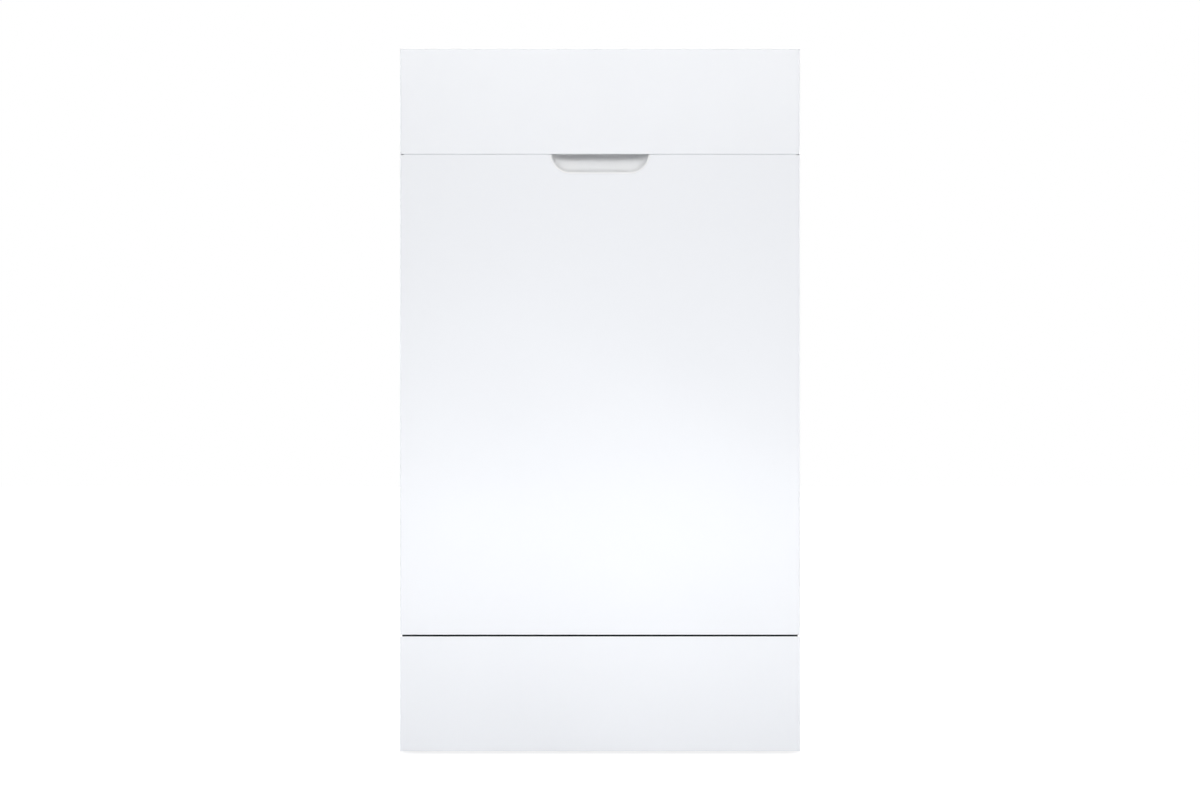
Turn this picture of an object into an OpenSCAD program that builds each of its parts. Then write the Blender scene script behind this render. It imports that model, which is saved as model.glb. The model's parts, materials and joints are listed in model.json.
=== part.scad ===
// Slim freestanding dishwasher with a plain front and hidden controls on top of the door.
// Millimetres. Front on -Y, +Z up, floor at z = 0, x = 0 on the middle plane.

/* [Cabinet] */
// Width over the side panels
body_w = 448; // [444:1:456]
// Depth from the door skin to the back
body_d = 600; // [594:1:610]
// Height of the fascia top above the floor
body_h = 790; // [784:1:800]
// Thickness of the painted sheet on sides, top and back
skin_t = 0.8; // [0.7:0.1:1]
// Height of the kick plate top above the floor
kick_top = 131.6; // [130:0.2:134]
// Room between the floor and the kick plate
kick_gap = 3; // [2:0.5:6]
// Wall of the moulded base
base_t = 4; // [3:0.5:5]
// Height of the base floor above the room floor
base_z = 20; // [18:1:22]

/* [Door] */
// Thickness of the door, skin to rim
door_t = 38; // [37:0.5:39]
// Thickness of the door skin
door_skin = 1; // [0.8:0.1:1.2]
// Outer bend radius of the front edges
edge_r = 2; // [1.5:0.25:2.5]
// Height of the fascia strip
fascia_h = 118.2; // [112:0.2:124]
// Wall of the fascia moulding
fascia_t = 2.5; // [2:0.25:3]
// Gap between fascia and door panel
seam_gap = 0.6; // [0.4:0.1:0.9]
// Gap between door and kick plate
toe_gap = 2; // [1.6:0.1:2.6]
// Height the plateau of the inner door stands off the rim
plateau_rise = 12; // [10:0.5:13]

/* [Handle pocket] */
// Radius of the finger pocket
pocket_r = 21.5; // [20:0.5:25]
// Distance between its two end centres
pocket_span = 65; // [50:1:70]
// Height of the pocket middle above the fascia edge
pocket_up = 2.3; // [1.5:0.1:5]
// Wall of the pocket
pocket_wall = 1.5; // [1:0.25:2]

/* [Controls] */
// Thickness of the control strip
strip_t = 3; // [2.5:0.25:4]
// Depth of the strip below the fascia top
strip_drop = 3; // [2.5:0.25:4]
// Length of a button cap
button_l = 18; // [15:0.5:22]
// Width of a button cap
button_w = 9; // [8:0.5:11]
// Travel of a button
button_travel = 0.8; // [0.5:0.1:1]
// Length of the display window
display_l = 64; // [50:1:70]

/* [Tub] */
// Room between tub wall and cabinet side
tub_side_gap = 22; // [21:0.5:24]
// Thickness of the tub sheet
tub_t = 1; // [0.8:0.1:1.2]
// Height of the wheel ledges
ledge_z = 179; // [178:0.5:180]
// Height of the tub floor
floor_z = 161; // [159:0.5:162]
// Thickness of the door gasket
gasket_t = 4.5; // [4:0.1:4.7]

/* [Racks] */
// Radius of a rack wire
wire_r = 2.2; // [1.8:0.1:2.4]
// Radius of a rim wire
rim_wire_r = 2.8; // [2.4:0.1:3]
// Height of the lower basket floor wires
low_floor_z = 206; // [205:0.5:208]
// Height of the lower basket rim
low_rim_z = 330; // [320:1:345]
// Height of the upper basket floor wires
up_floor_z = 514; // [513:0.5:517]
// Height of the upper basket rim
up_rim_z = 600; // [595:1:615]
// Radius of a rack wheel
wheel_r = 16; // [14:0.5:16.5]
// Width of a rack wheel
wheel_w = 8; // [6:0.5:9]

/* [Wash system] */
// Reach of the lower spray arm
low_arm_r = 163; // [150:1:166]
// Reach of the upper spray arm
up_arm_r = 156; // [140:1:160]
// Radius of the filter cylinder
filter_r = 26; // [24:0.5:27]
// Radius of the sump pot
sump_r = 78; // [76:0.5:79]
// Radius of the salt cap
salt_r = 37; // [34:0.5:39]

/* [Hidden] */
// Rounded forms
$fn = 64;
// Planes of the cabinet
half_w = body_w / 2;
front_y = -body_d / 2;
back_y = body_d / 2;
fascia_z = body_h - fascia_h;
door_bottom = kick_top + toe_gap;
hinge_in = 20;
hinge_y = front_y + hinge_in;
hinge_z = door_bottom + hinge_in;
rim_y = front_y + door_t;
cab_y = front_y + 42;
flange_y = cab_y + skin_t;
cover_z = body_h - 2 - skin_t;
screw_h = 2.5;
skin_back = back_y - screw_h;
side_bottom = 12;
fold_w = 12;
// Small distances
seam = 0.02;
rest_gap = 0.3;
free_gap = 0.4;
run_fit = 0.06;
over = 1;
// Tub
tub_hw = half_w - tub_side_gap;
tub_in = tub_hw - tub_t;
tub_back = back_y - 38;
tub_top = body_h - 28;
tub_front = flange_y + tub_t;
flange_hw = half_w - 5;
flange_top = body_h - 6;
flange_low = floor_z - 1;
lip_low = floor_z - 13;
lip_top = floor_z + 11;
ledge_in = 36;
floor_in = 46;
mid_y = 10;
dish_r = 140;
dish_in_r = 88;
dish_z = floor_z - 14;
sump_hole = sump_r + 2;
// Base
rail_out = half_w - skin_t;
rail_in = rail_out - base_t;
base_back = back_y - 10;
base_top = ledge_z - tub_t;
floor_t = 3;
base_floor = base_z + floor_t;
shelf_in = tub_hw - 6;
front_wall_top = 60;
foot_x = half_w - 39;
foot_front = front_y + 85;
foot_back = back_y - 50;
foot_r = 19;
foot_h = 6;
stem_r = 5;
stem_top = 48;
boss_r = 11;
boss_top = 50;
float_x = tub_in - 83;
float_y = front_y + 120;
float_tube_r = 9;
float_cap_r = 17;
float_stem_r = 4;
salt_x = 89 - tub_in;
salt_y = front_y + 130;
salt_neck_r = 33;
salt_stem_r = 28;
salt_seat = floor_z + 5;
// Softener tank and side chamber
tank_x0 = salt_x - 58;
tank_x1 = salt_x + 40;
tank_hd = 66;
chamber_t = 16;
chamber_hd = 150;
chamber_low = 250;
chamber_top = 560;
chamber_pitch = 55;
chamber_slot = 40;
// Door inside
inner_low = flange_low;
strip_top = body_h - strip_drop;
strip_low = strip_top - strip_t;
plateau_y = rim_y + plateau_rise;
plateau_hw = tub_in - 11;
plateau_low = 190;
plateau_high = tub_top - 12;
rise = plateau_rise + door_skin;
pocket_z = fascia_z + pocket_up;
pocket_y = front_y + door_skin;
pocket_cy = pocket_span / 2;
notch_in = half_w - 21;
notch_out = half_w - 7;
// Dispenser
disp_hw = 72;
disp_low = 378;
disp_high = 552;
disp_face = plateau_y + 4;
cup_x0 = -58;
cup_x1 = 2;
cup_z0 = 462;
cup_z1 = 532;
cup_wall = 2.5;
cup_back = front_y + 18;
lid_in = 4;
lid_t = 2.6;
lid_travel = 72;
lid_y = disp_face + free_gap;
rinse_x = 40;
rinse_z = 505;
rinse_r = 19;
rinse_deep = 12;
// Latch
latch_z = flange_top - 9.5;
latch_t = 3;
hook_z = latch_z + latch_t + 0.5;
hook_pivot_y = front_y + 14;
hook_tip_y = front_y + 32;
// Hinge
pin_r = 5;
arm_x = half_w - 13;
arm_t = 3;
plate_x = half_w - 18;
plate_t = 4;
plate_l = 36;
plate_low = base_z + 60;
plate_top = flange_low - 2;
knuckle_r = 9;
spring_r = 8.5;
spring_in_r = 5.4;
spring_x0 = arm_x + arm_t + 0.5;
spring_x1 = half_w - door_skin - 0.5;
// Racks
rack_front = front_y + 82;
rack_back = back_y - 62;
low_hw = tub_in - 27;
low_cross = low_floor_z + 2 * wire_r + seam;
low_post = low_cross + wire_r + seam;
low_pitch_x = low_hw / 4;
low_cross_y = [for (i = [0 : 8]) rack_front + 7 + i * (rack_back - rack_front - 14) / 8];
up_front = front_y + 78;
up_back = back_y - 68;
up_hw = tub_in - 31;
up_cross = up_floor_z + 2 * wire_r + seam;
up_post = up_cross + wire_r + seam;
up_pitch_x = up_hw / 4;
up_cross_y = [for (i = [0 : 7]) up_front + 7 + i * (up_back - up_front - 14) / 7];
wheel_x0 = tub_in - 16;
wheel_z = ledge_z + rest_gap + wheel_r;
wheel_front_y = front_y + 150;
wheel_back_y = back_y - 130;
axle_r = 3;
hanger_x = low_hw + wire_r + 0.1;
tine_x = -60;
tine_z = low_cross + wire_r + wire_r + rest_gap;
tine_end = 150;
tine_top = low_floor_z + 84;
tine_pitch = 25;
cut_x0 = 52;
cut_x1 = low_hw - 8;
cut_y0 = rack_front + 10;
cut_y1 = rack_front + 102;
cut_z0 = low_cross + wire_r + rest_gap;
cut_z1 = 300;
cut_wall = 2;
rail_z = 556;
rail_h = 20;
rail_y0 = cab_y + 14;
rail_y1 = tub_back - 18;
slide_x0 = tub_in - 12;
tongue_z = rail_z + rail_h / 2;
tongue_h = 5.2;
shelf_x = -up_hw + 12;
shelf_z = up_floor_z + 72;
shelf_w = 76;
shelf_end = 115;
shelf_y0 = up_cross_y[2];
shelf_y1 = up_cross_y[5];
shelf_mid = (shelf_y0 + shelf_y1) / 2;
// Spray arms and feed
hub_r = 16;
post_r = 12;
bearing_r = 6;
low_arm_z = ledge_z + 4 + rest_gap;
arm_h = 10;
feed_z0 = up_floor_z - 15;
feed_z1 = up_floor_z - wire_r - 2;
up_arm_z = feed_z0 - 2 - arm_h - rest_gap;
riser_y = tub_back - 16;
dock_y = riser_y - 16;
filter_x = 32.5;
filter_y = mid_y - 32.5;
web_z = 120;
sump_low = 60;
sump_wall = 3;
sieve_z = dish_z + 2;
sieve_t = 1.2;
// Pump
pump_x = 40;
pump_z = 70;
volute_y = 112;
volute_l = 34;
volute_r = 46;
volute_in = 40;
impeller_r = 38;
motor_r = 42;
motor_l = 110;
shaft_r = 4;
// Connectors at the back
thread_r = 13.2;
thread_in_r = 9.5;
valve_x = half_w - 54;
valve_z = 130;
valve_hw = 20;
valve_hh = 22;
valve_l = 36;
spigot_r = 10;
spigot_in_r = 7.5;
spigot_x = 74 - half_w;
spigot_z = 120;
cord_r = 4.2;
cord_x = half_w - 114;
cord_z = 75;
cord_hw = 20;
cord_hh = 15;
cord_rim = 4;
hose_flange = 1.5;
// Keys on the control strip
key_y = front_y + 20;
power_x = 34 - half_w;
program_x = power_x + 40;
display_x = power_x + 105;
half_load_x = half_w - 164;
start_x = half_load_x + 40;
display_hw = display_l / 2;
display_hd = 9;
glass_t = 1.5;
board_z = strip_low - 12;
board_t = 1.6;
key_low = strip_low - free_gap - 3;

// Box between two corners
module block(lo, hi) {
  translate(lo)
    cube([hi[0] - lo[0], hi[1] - lo[1], hi[2] - lo[2]]);
}

// The child and its mirror image across the middle plane
module both() {
  children();
  mirror([1, 0, 0])
    children();
}

// Round bars along each axis
module rod_x(x0, x1, y, z, r) {
  translate([x0, y, z])
    rotate([0, 90, 0])
      cylinder(r = r, h = x1 - x0);
}

module rod_y(y0, y1, x, z, r) {
  translate([x, y0, z])
    rotate([-90, 0, 0])
      cylinder(r = r, h = y1 - y0);
}

module rod_z(z0, z1, x, y, r) {
  translate([x, y, z0])
    cylinder(r = r, h = z1 - z0);
}

// Profile in y and z, drawn out along x
module slab_x(x0, x1, points) {
  translate([x0, 0, 0])
    rotate([90, 0, 90])
      linear_extrude(height = x1 - x0)
        polygon(points);
}

// Profile in x and z, drawn out along y
module slab_y(y0, y1, points) {
  translate([0, y1, 0])
    rotate([90, 0, 0])
      linear_extrude(height = y1 - y0)
        polygon(points);
}

// Flat rounded outline
module pill(l, w) {
  r = w / 2;
  translate([-l / 2 + r, -r])
    square([l - w, w]);
  for (s = [-1, 1])
    translate([s * (l / 2 - r), 0])
      circle(r = r);
}

// Outline of the front, seen from above
module front_outline() {
  translate([-half_w + edge_r, front_y])
    square([body_w - 2 * edge_r, door_t]);
  translate([-half_w, front_y + edge_r])
    square([body_w, door_t - edge_r]);
  for (s = [-1, 1])
    translate([s * (half_w - edge_r), front_y + edge_r])
      circle(r = edge_r);
}

// Finger pocket form, grown by a wall
module pocket_form(grow) {
  for (s = [-1, 1])
    translate([s * pocket_cy, pocket_y, pocket_z])
      sphere(r = pocket_r + grow);
  rod_x(-pocket_cy, pocket_cy, pocket_y, pocket_z, pocket_r + grow);
}

// Base carrier that holds feet, tub and pumps
module base_tray() {
  color("#3b3d40")
    difference() {
      union() {
        both()
          block([rail_in, flange_y, base_z], [rail_out, base_back, base_top]);
        both()
          block([shelf_in, tub_front + 6, base_top - base_t], [rail_in, base_back, base_top]);
        block([-rail_in, flange_y, base_z], [rail_in, base_back, base_floor]);
        block([-rail_in, base_back - base_t, base_z], [rail_in, base_back, base_top]);
        block([-rail_in, flange_y, base_z], [rail_in, flange_y + base_t, front_wall_top]);
        for (y = [foot_front, foot_back])
          both()
            rod_z(base_z, boss_top, foot_x, y, boss_r);
        rod_z(base_z, floor_z + 1, float_x, float_y, float_tube_r);
      }
      for (y = [foot_front, foot_back])
        both()
          rod_z(base_z - over, boss_top + over, foot_x, y, stem_r + run_fit);
      rod_z(90, floor_z + 1 + over, float_x, float_y, float_stem_r + run_fit);
      rod_y(base_back - 2 * base_t, base_back + over, valve_x, valve_z, thread_r + 0.8);
      rod_y(base_back - 2 * base_t, base_back + over, spigot_x, spigot_z, spigot_r + 1);
      block(
        [cord_x - cord_hw, base_back - 2 * base_t, cord_z - cord_hh],
        [cord_x + cord_hw, base_back + over, cord_z + cord_hh]
      );
    }
}

// One painted side, folded inward at front and back
module side_skin() {
  block([half_w - skin_t, cab_y, side_bottom], [half_w, skin_back, cover_z]);
  block([half_w - fold_w, cab_y, side_bottom], [half_w, cab_y + skin_t, cover_z]);
  block([half_w - fold_w, skin_back - skin_t, side_bottom], [half_w, skin_back, cover_z]);
}

module side_panel_left() {
  color("#f4f5f6")
    mirror([1, 0, 0])
      side_skin();
}

module side_panel_right() {
  color("#f4f5f6")
    side_skin();
}

// Lid sheet with edges that turn down inside the sides
module top_cover() {
  color("#f4f5f6") {
    block([-half_w, cab_y, cover_z], [half_w, skin_back, cover_z + skin_t]);
    both()
      block(
        [half_w - 2 * skin_t, cab_y + fold_w, cover_z - fold_w],
        [half_w - skin_t, back_y - fold_w, cover_z]
      );
  }
}

// Galvanised back sheet with pressed ribs
module back_panel() {
  low = base_top + 4;
  high = cover_z - 4;
  rib_h = 1.6;
  y1 = skin_back - skin_t;
  color("#b9bdc0") {
    block([-half_w + skin_t, y1 - skin_t, low], [half_w - skin_t, y1, high]);
    for (x = [-135, -45, 45, 135])
      block([x - 10, y1, low + 50], [x + 10, y1 + rib_h, high - 50]);
  }
}

// Sides and ceiling of the wash tub with the front flange
module tub_wrap() {
  color("#c9ccce") {
    both()
      block([tub_in, tub_front, base_top], [tub_hw, tub_back, tub_top + tub_t]);
    block([-tub_in, tub_front, tub_top], [tub_in, tub_back, tub_top + tub_t]);
    both()
      block([tub_in, flange_y, flange_low], [flange_hw, tub_front, flange_top]);
    block([-tub_in, flange_y, tub_top], [tub_in, tub_front, flange_top]);
  }
}

// Back of the wash tub, drawn down behind the floor's trough
module tub_back_wall() {
  t = tub_t;
  a = tub_in - ledge_in + t;
  b = tub_in - floor_in + t;
  color("#c9ccce") {
    block([-tub_hw, tub_back, base_top], [tub_hw, tub_back + t, tub_top + t]);
    slab_y(tub_back, tub_back + t, [
      [-a, ledge_z], [-a, base_top], [-b, floor_z - t], [b, floor_z - t], [a, base_top], [a, ledge_z]
    ]);
  }
}

// Tub floor with wheel ledges, dish and openings
module tub_floor() {
  t = tub_t;
  a = tub_in - ledge_in;
  b = tub_in - floor_in;
  color("#c9ccce")
    difference() {
      union() {
        difference() {
          slab_y(tub_front, tub_back, [
            [-tub_in, ledge_z], [-a, ledge_z], [-b, floor_z], [b, floor_z], [a, ledge_z],
            [tub_in, ledge_z], [tub_in, ledge_z - t], [a + t, ledge_z - t],
            [b + t, floor_z - t], [-b - t, floor_z - t], [-a - t, ledge_z - t],
            [-tub_in, ledge_z - t]
          ]);
          rod_z(floor_z - 2 * t, floor_z + t, 0, mid_y, dish_r);
        }
        difference() {
          translate([0, mid_y, dish_z - t])
            cylinder(r1 = dish_in_r, r2 = dish_r + t, h = floor_z - dish_z + t);
          translate([0, mid_y, dish_z])
            cylinder(r1 = dish_in_r, r2 = dish_r, h = floor_z - dish_z + seam);
        }
        block([-tub_in, flange_y, lip_low], [tub_in, tub_front, lip_top]);
        both()
          slab_y(flange_y, tub_front, [
            [b, lip_low + t], [b, floor_z], [a, ledge_z], [tub_in, ledge_z], [tub_in, lip_low + t]
          ]);
      }
      rod_z(dish_z - 2 * t, dish_z + t, 0, mid_y, sump_hole);
      rod_z(floor_z - 2 * t, floor_z + t, salt_x, salt_y, salt_neck_r + free_gap);
      rod_z(floor_z - 2 * t, floor_z + t, float_x, float_y, float_tube_r + free_gap);
    }
}

// Soft profile round sides and top of the opening
module door_gasket() {
  x0 = tub_in + 2;
  x1 = tub_in + 10;
  z0 = floor_z + 5;
  z1 = tub_top + 2;
  z2 = tub_top + 10;
  color("#6f7173") {
    both()
      block([x0, flange_y - gasket_t, z0], [x1, flange_y, z2]);
    block([-x0, flange_y - gasket_t, z1], [x0, flange_y, z2]);
  }
}

// Lip seal along the sill
module sill_seal() {
  color("#6f7173")
    slab_x(-tub_in + 2, tub_in - 2, [
      [flange_y, lip_low + 3], [flange_y, lip_top - 3], [flange_y - 0.8, lip_top - 3],
      [flange_y - 1.5, lip_top - 8], [flange_y - 1.5, lip_low + 7], [flange_y - 0.8, lip_low + 3]
    ]);
}

// Toe plate with folded sides and two brackets
module kick_plate() {
  color("#f4f5f6")
    difference() {
      union() {
        intersection() {
          translate([0, 0, kick_gap])
            linear_extrude(height = kick_top - kick_gap)
              front_outline();
          slab_x(-half_w, half_w, [
            [front_y, kick_gap], [front_y, kick_top], [front_y + 1, kick_top],
            [front_y + 10, kick_top - 10], [cab_y - 2, kick_top - 10], [cab_y - 2, kick_gap]
          ]);
        }
      }
      block(
        [-half_w + door_skin, front_y + door_skin, kick_gap + door_skin],
        [half_w - door_skin, cab_y, kick_top + over]
      );
      block([-half_w - over, rim_y - 6, 0], [half_w + over, cab_y, kick_gap + door_skin]);
    }
  color("#f4f5f6")
    both()
      difference() {
        block([half_w - 94, front_y + door_skin, 30], [half_w - 54, flange_y, 55]);
        block([half_w - 92, front_y + door_skin - over, 32], [half_w - 56, flange_y - 2, 53]);
      }
}

// Screw heads on the rear folds
module cabinet_screws() {
  color("#8d9194") {
    for (z = [40, 200, 400, 600, cover_z - 16])
      both()
        rod_y(skin_back, back_y, half_w - 6, z, 3.5);
  }
}

// Pot under the tub with filter seat and spray arm post
module sump() {
  color("#55585b")
    difference() {
      union() {
        difference() {
          union() {
            rod_z(sump_low, dish_z + 1, 0, mid_y, sump_r);
            rod_z(dish_z, dish_z + 2.6, 0, mid_y, dish_in_r - 1);
          }
          rod_z(sump_low + sump_wall, dish_z + 4, 0, mid_y, sump_r - sump_wall);
        }
        difference() {
          rod_z(dish_z - 1, sieve_z, 0, mid_y, sump_r - sump_wall + 0.5);
          rod_z(dish_z - 2, sieve_z + 1, 0, mid_y, sump_r - 10);
        }
        rod_z(web_z, web_z + 3, 0, mid_y, sump_r - sump_wall + 0.5);
        rod_z(web_z, sieve_z, filter_x, filter_y, filter_r + 3);
        rod_z(sump_low, low_arm_z - rest_gap, 0, mid_y, post_r);
        rod_z(sump_low, low_arm_z + arm_h + 3, 0, mid_y, bearing_r);
      }
      rod_z(web_z - 1, sieve_z + 1, filter_x, filter_y, filter_r + run_fit);
    }
}

// Stainless sieve plate round the filter cylinder
module fine_filter() {
  color("#aeb2b5")
    difference() {
      rod_z(sieve_z, sieve_z + sieve_t, 0, mid_y, sump_r - sump_wall - 0.2);
      rod_z(sieve_z - 1, sieve_z + 3, filter_x, filter_y, filter_r + 1);
      rod_z(sieve_z - 1, sieve_z + 3, 0, mid_y, post_r + 0.2);
    }
}

// Lift-out cylinder with a twist grip
module filter_cylinder() {
  color("#7c8083")
    difference() {
      union() {
        rod_z(80, sieve_z + 8, filter_x, filter_y, filter_r);
        rod_z(sieve_z + sieve_t + rest_gap, sieve_z + 8, filter_x, filter_y, filter_r + 4);
        block(
          [filter_x - 24, filter_y - 3, sieve_z + 8],
          [filter_x + 24, filter_y + 3, sieve_z + 20]
        );
      }
      rod_z(83, sieve_z + 4, filter_x, filter_y, filter_r - 3);
    }
}

// Motor, volute and the pipes of the wash pump
module circulation_pump() {
  y1 = volute_y + volute_l;
  color("#4a4d50")
    difference() {
      union() {
        rod_y(volute_y, y1, pump_x, pump_z, volute_r);
        rod_y(y1, y1 + motor_l, pump_x, pump_z, motor_r);
        rod_y(mid_y + 66, volute_y, pump_x, pump_z, 16);
        rod_z(pump_z + 30, floor_z - 11, pump_x, volute_y + volute_l / 2, 14);
        block([pump_x - 20, y1 + 10, base_floor], [pump_x + 20, y1 + 30, pump_z]);
        block([pump_x - 20, y1 + 80, base_floor], [pump_x + 20, y1 + 100, pump_z]);
      }
      rod_y(volute_y + 4, y1 - 4, pump_x, pump_z, volute_in);
      rod_y(y1 - 5, y1 + 20, pump_x, pump_z, shaft_r + run_fit);
      translate([0, mid_y, sump_low])
        cylinder(r = sump_r + seam, h = 80);
    }
}

// Wheel that drives the wash water
module pump_impeller() {
  y0 = volute_y + 8;
  color("#d9dcdd") {
    rod_y(y0, y0 + 4, pump_x, pump_z, impeller_r);
    rod_y(y0, volute_y + volute_l + 16, pump_x, pump_z, shaft_r);
    for (i = [0 : 5])
      translate([pump_x, 0, pump_z])
        rotate([0, 60 * i, 0])
          block([shaft_r - 1, y0 + 3.5, -1.2], [impeller_r - 3, y0 + 16, 1.2]);
  }
}

// Small pump that empties the sump
module drain_pump() {
  color("#4a4d50")
    difference() {
      union() {
        rod_x(-150, -74, 120, 62, 27);
        rod_x(-74, -60, 120, 62, 20);
        block([-130, 110, base_floor], [-90, 130, 60]);
        rod_y(mid_y + 50, 112, -52, 75, 9);
        rod_x(-62, -48, 112, 70, 12);
      }
      translate([0, mid_y, sump_low])
        cylinder(r = sump_r + seam, h = 80);
    }
}

// Tank with the salt funnel
module water_softener() {
  color("#dfe2e3")
    difference() {
      union() {
        block([tank_x0, salt_y - tank_hd, base_floor], [tank_x1, salt_y + tank_hd, floor_z - 6]);
        rod_z(base_floor, salt_seat, salt_x, salt_y, salt_neck_r);
      }
      rod_z(salt_seat - 30, salt_seat + over, salt_x, salt_y, salt_stem_r + run_fit);
    }
}

module salt_cap() {
  color("#e8eaea") {
    rod_z(salt_seat - 20, salt_seat + 4, salt_x, salt_y, salt_stem_r);
    difference() {
      rod_z(salt_seat + rest_gap, salt_seat + 9, salt_x, salt_y, salt_r);
      rod_z(salt_seat + 5, salt_seat + 12, salt_x, salt_y, salt_r - 5);
    }
    block([salt_x - 33, salt_y - 4, salt_seat + 2], [salt_x + 33, salt_y + 4, salt_seat + 12]);
  }
}

// Float that stops the water when the tub floods
module leak_float() {
  color("#e8eaea") {
    rod_z(95, floor_z + 4, float_x, float_y, float_stem_r);
    rod_z(floor_z + 1 + rest_gap, floor_z + 9, float_x, float_y, float_cap_r);
  }
}

// Flat moulded chamber between tub and left side
module water_chamber() {
  color("#dfe2e3")
    difference() {
      block([-tub_hw - chamber_t, -chamber_hd, chamber_low], [-tub_hw, chamber_hd, chamber_top]);
      for (i = [0 : 4])
        translate([0, 0, chamber_low + 25 + chamber_pitch * i])
          block(
            [-tub_hw - chamber_t - over, 20 - chamber_hd, 0],
            [-tub_hw - chamber_t + 3, chamber_hd - 20, chamber_slot]
          );
    }
}

// Inlet valve with its hose thread through the base
module inlet_valve() {
  color("#e8eaea")
    difference() {
      union() {
        block(
          [valve_x - valve_hw, base_back - base_t - valve_l, valve_z - valve_hh],
          [valve_x + valve_hw, base_back - base_t, valve_z + valve_hh]
        );
        rod_y(base_back - base_t - 1, back_y - 1, valve_x, valve_z, thread_r);
        rod_y(base_back, base_back + hose_flange, valve_x, valve_z, thread_r + 4.8);
        block(
          [valve_x - valve_hw, base_back - 26, base_floor],
          [valve_x + valve_hw, base_back - 16, valve_z - valve_hh + 1]
        );
      }
      rod_y(base_back - 20, back_y, valve_x, valve_z, thread_in_r);
    }
}

module drain_connector() {
  color("#55585b")
    difference() {
      union() {
        rod_y(base_back - 24, back_y - 1, spigot_x, spigot_z, spigot_r);
        rod_y(base_back - base_t - 6, base_back - base_t, spigot_x, spigot_z, spigot_r + 7);
        rod_y(base_back, base_back + hose_flange, spigot_x, spigot_z, spigot_r + 5);
      }
      rod_y(base_back - 12, back_y, spigot_x, spigot_z, spigot_in_r);
    }
}

// Cable entry plate
module mains_inlet() {
  color("#2f3133")
    difference() {
      union() {
        block(
          [cord_x - cord_hw, base_back - base_t, cord_z - cord_hh],
          [cord_x + cord_hw, base_back, cord_z + cord_hh]
        );
        block(
          [cord_x - cord_hw - cord_rim, base_back, cord_z - cord_hh - cord_rim],
          [cord_x + cord_hw + cord_rim, base_back + 2, cord_z + cord_hh + cord_rim]
        );
        rod_y(base_back, base_back + 8, cord_x, cord_z, cord_r + 5.8);
        block(
          [cord_x - cord_hw - cord_rim, base_back - 30, cord_z - cord_hh - cord_rim],
          [cord_x + cord_hw + cord_rim, base_back - base_t, cord_z + cord_hh + cord_rim]
        );
      }
      rod_y(base_back - 20, back_y, cord_x, cord_z, cord_r);
    }
}

// Feed duct up the back, ceiling duct and fixed top sprayer
module riser_tube() {
  color("#8b8f92") {
    block([-16, riser_y, floor_z], [16, tub_back, tub_top]);
    block([-12, dock_y, feed_z0 - 1], [12, riser_y, feed_z1 + 1]);
    block([-12, mid_y, tub_top - 12], [12, riser_y, tub_top]);
    rod_z(tub_top - 24, tub_top, 0, mid_y, 32);
  }
}

// Steel plates that carry the door pins
module hinge_brackets() {
  y0 = flange_y + 2;
  color("#8d9194")
    both()
      difference() {
        union() {
          slab_x(plate_x, plate_x + plate_t, [
            [y0 + plate_l, plate_low], [y0, plate_low], [y0, plate_top - 17],
            [hinge_y, hinge_z - knuckle_r], [hinge_y, hinge_z + knuckle_r], [y0, plate_top],
            [y0 + plate_l, plate_top]
          ]);
          rod_x(plate_x, plate_x + plate_t, hinge_y, hinge_z, knuckle_r);
          block(
            [plate_x + plate_t, y0 + 10, plate_low + 10],
            [rail_in, y0 + plate_l - 2, plate_top - 8]
          );
        }
        rod_x(plate_x - over, plate_x + plate_t + over, hinge_y, hinge_z, pin_r + run_fit);
      }
}

// Tongue on the cabinet that enters the door latch
module latch_striker() {
  color("#8d9194") {
    block([-6, hook_tip_y - 4, latch_z], [6, flange_y, latch_z + latch_t]);
    block([-20, flange_y - 1.2, latch_z - 1], [20, flange_y, latch_z + 8]);
  }
}

// Fixed rails of the upper rack
module upper_rack_guides() {
  z1 = rail_z + rail_h;
  x0 = slide_x0;
  x1 = tub_in;
  color("#aeb2b5")
    both()
      slab_y(rail_y0, rail_y1, [
        [x0, rail_z], [x1, rail_z], [x1, z1], [x0, z1], [x0, z1 - 2], [x1 - 2, z1 - 2],
        [x1 - 2, rail_z + 2], [x0, rail_z + 2]
      ]);
}

// Middle members of the slides
module upper_rack_runners() {
  z0 = rail_z + 2 + free_gap;
  z1 = rail_z + rail_h - 2 - free_gap;
  x1 = tub_in - 2 - free_gap;
  g0 = tongue_z - tongue_h / 2 - free_gap;
  g1 = tongue_z + tongue_h / 2 + free_gap;
  color("#c9ccce")
    both()
      slab_y(rail_y0 + 2, rail_y1 - 2, [
        [slide_x0, z0], [x1, z0], [x1, z1], [slide_x0, z1], [slide_x0, g1],
        [slide_x0 + 5.5, g1], [slide_x0 + 5.5, g0], [slide_x0, g0]
      ]);
}

// One spray arm with nozzle pads
module spray_arm(reach, z0, up) {
  tip = 11;
  difference() {
    union() {
      translate([0, mid_y, z0])
        linear_extrude(height = arm_h)
          pill(2 * reach, 2 * tip);
      rod_z(z0, z0 + arm_h, 0, mid_y, hub_r + 4);
      for (x = [-0.85, -0.62, -0.38, 0.38, 0.62, 0.85])
        rod_z(up ? z0 + arm_h - 1 : z0 - 2, up ? z0 + arm_h + 2 : z0 + 1, x * reach, mid_y, 5);
    }
    rod_z(z0 - over, z0 + arm_h + over, 0, mid_y, bearing_r + run_fit);
  }
}

module lower_spray_arm() {
  color("#9a9ea1")
    spray_arm(low_arm_r, low_arm_z, true);
}

module upper_spray_arm() {
  color("#9a9ea1")
    spray_arm(up_arm_r, up_arm_z, true);
}

// Adjustable feet
module foot(x, y) {
  rod_z(0, foot_h, x, y, foot_r);
  rod_z(foot_h - 1, stem_top, x, y, stem_r);
}

module front_foot_left() {
  color("#26282a")
    foot(-foot_x, foot_front);
}

module front_foot_right() {
  color("#26282a")
    foot(foot_x, foot_front);
}

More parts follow.
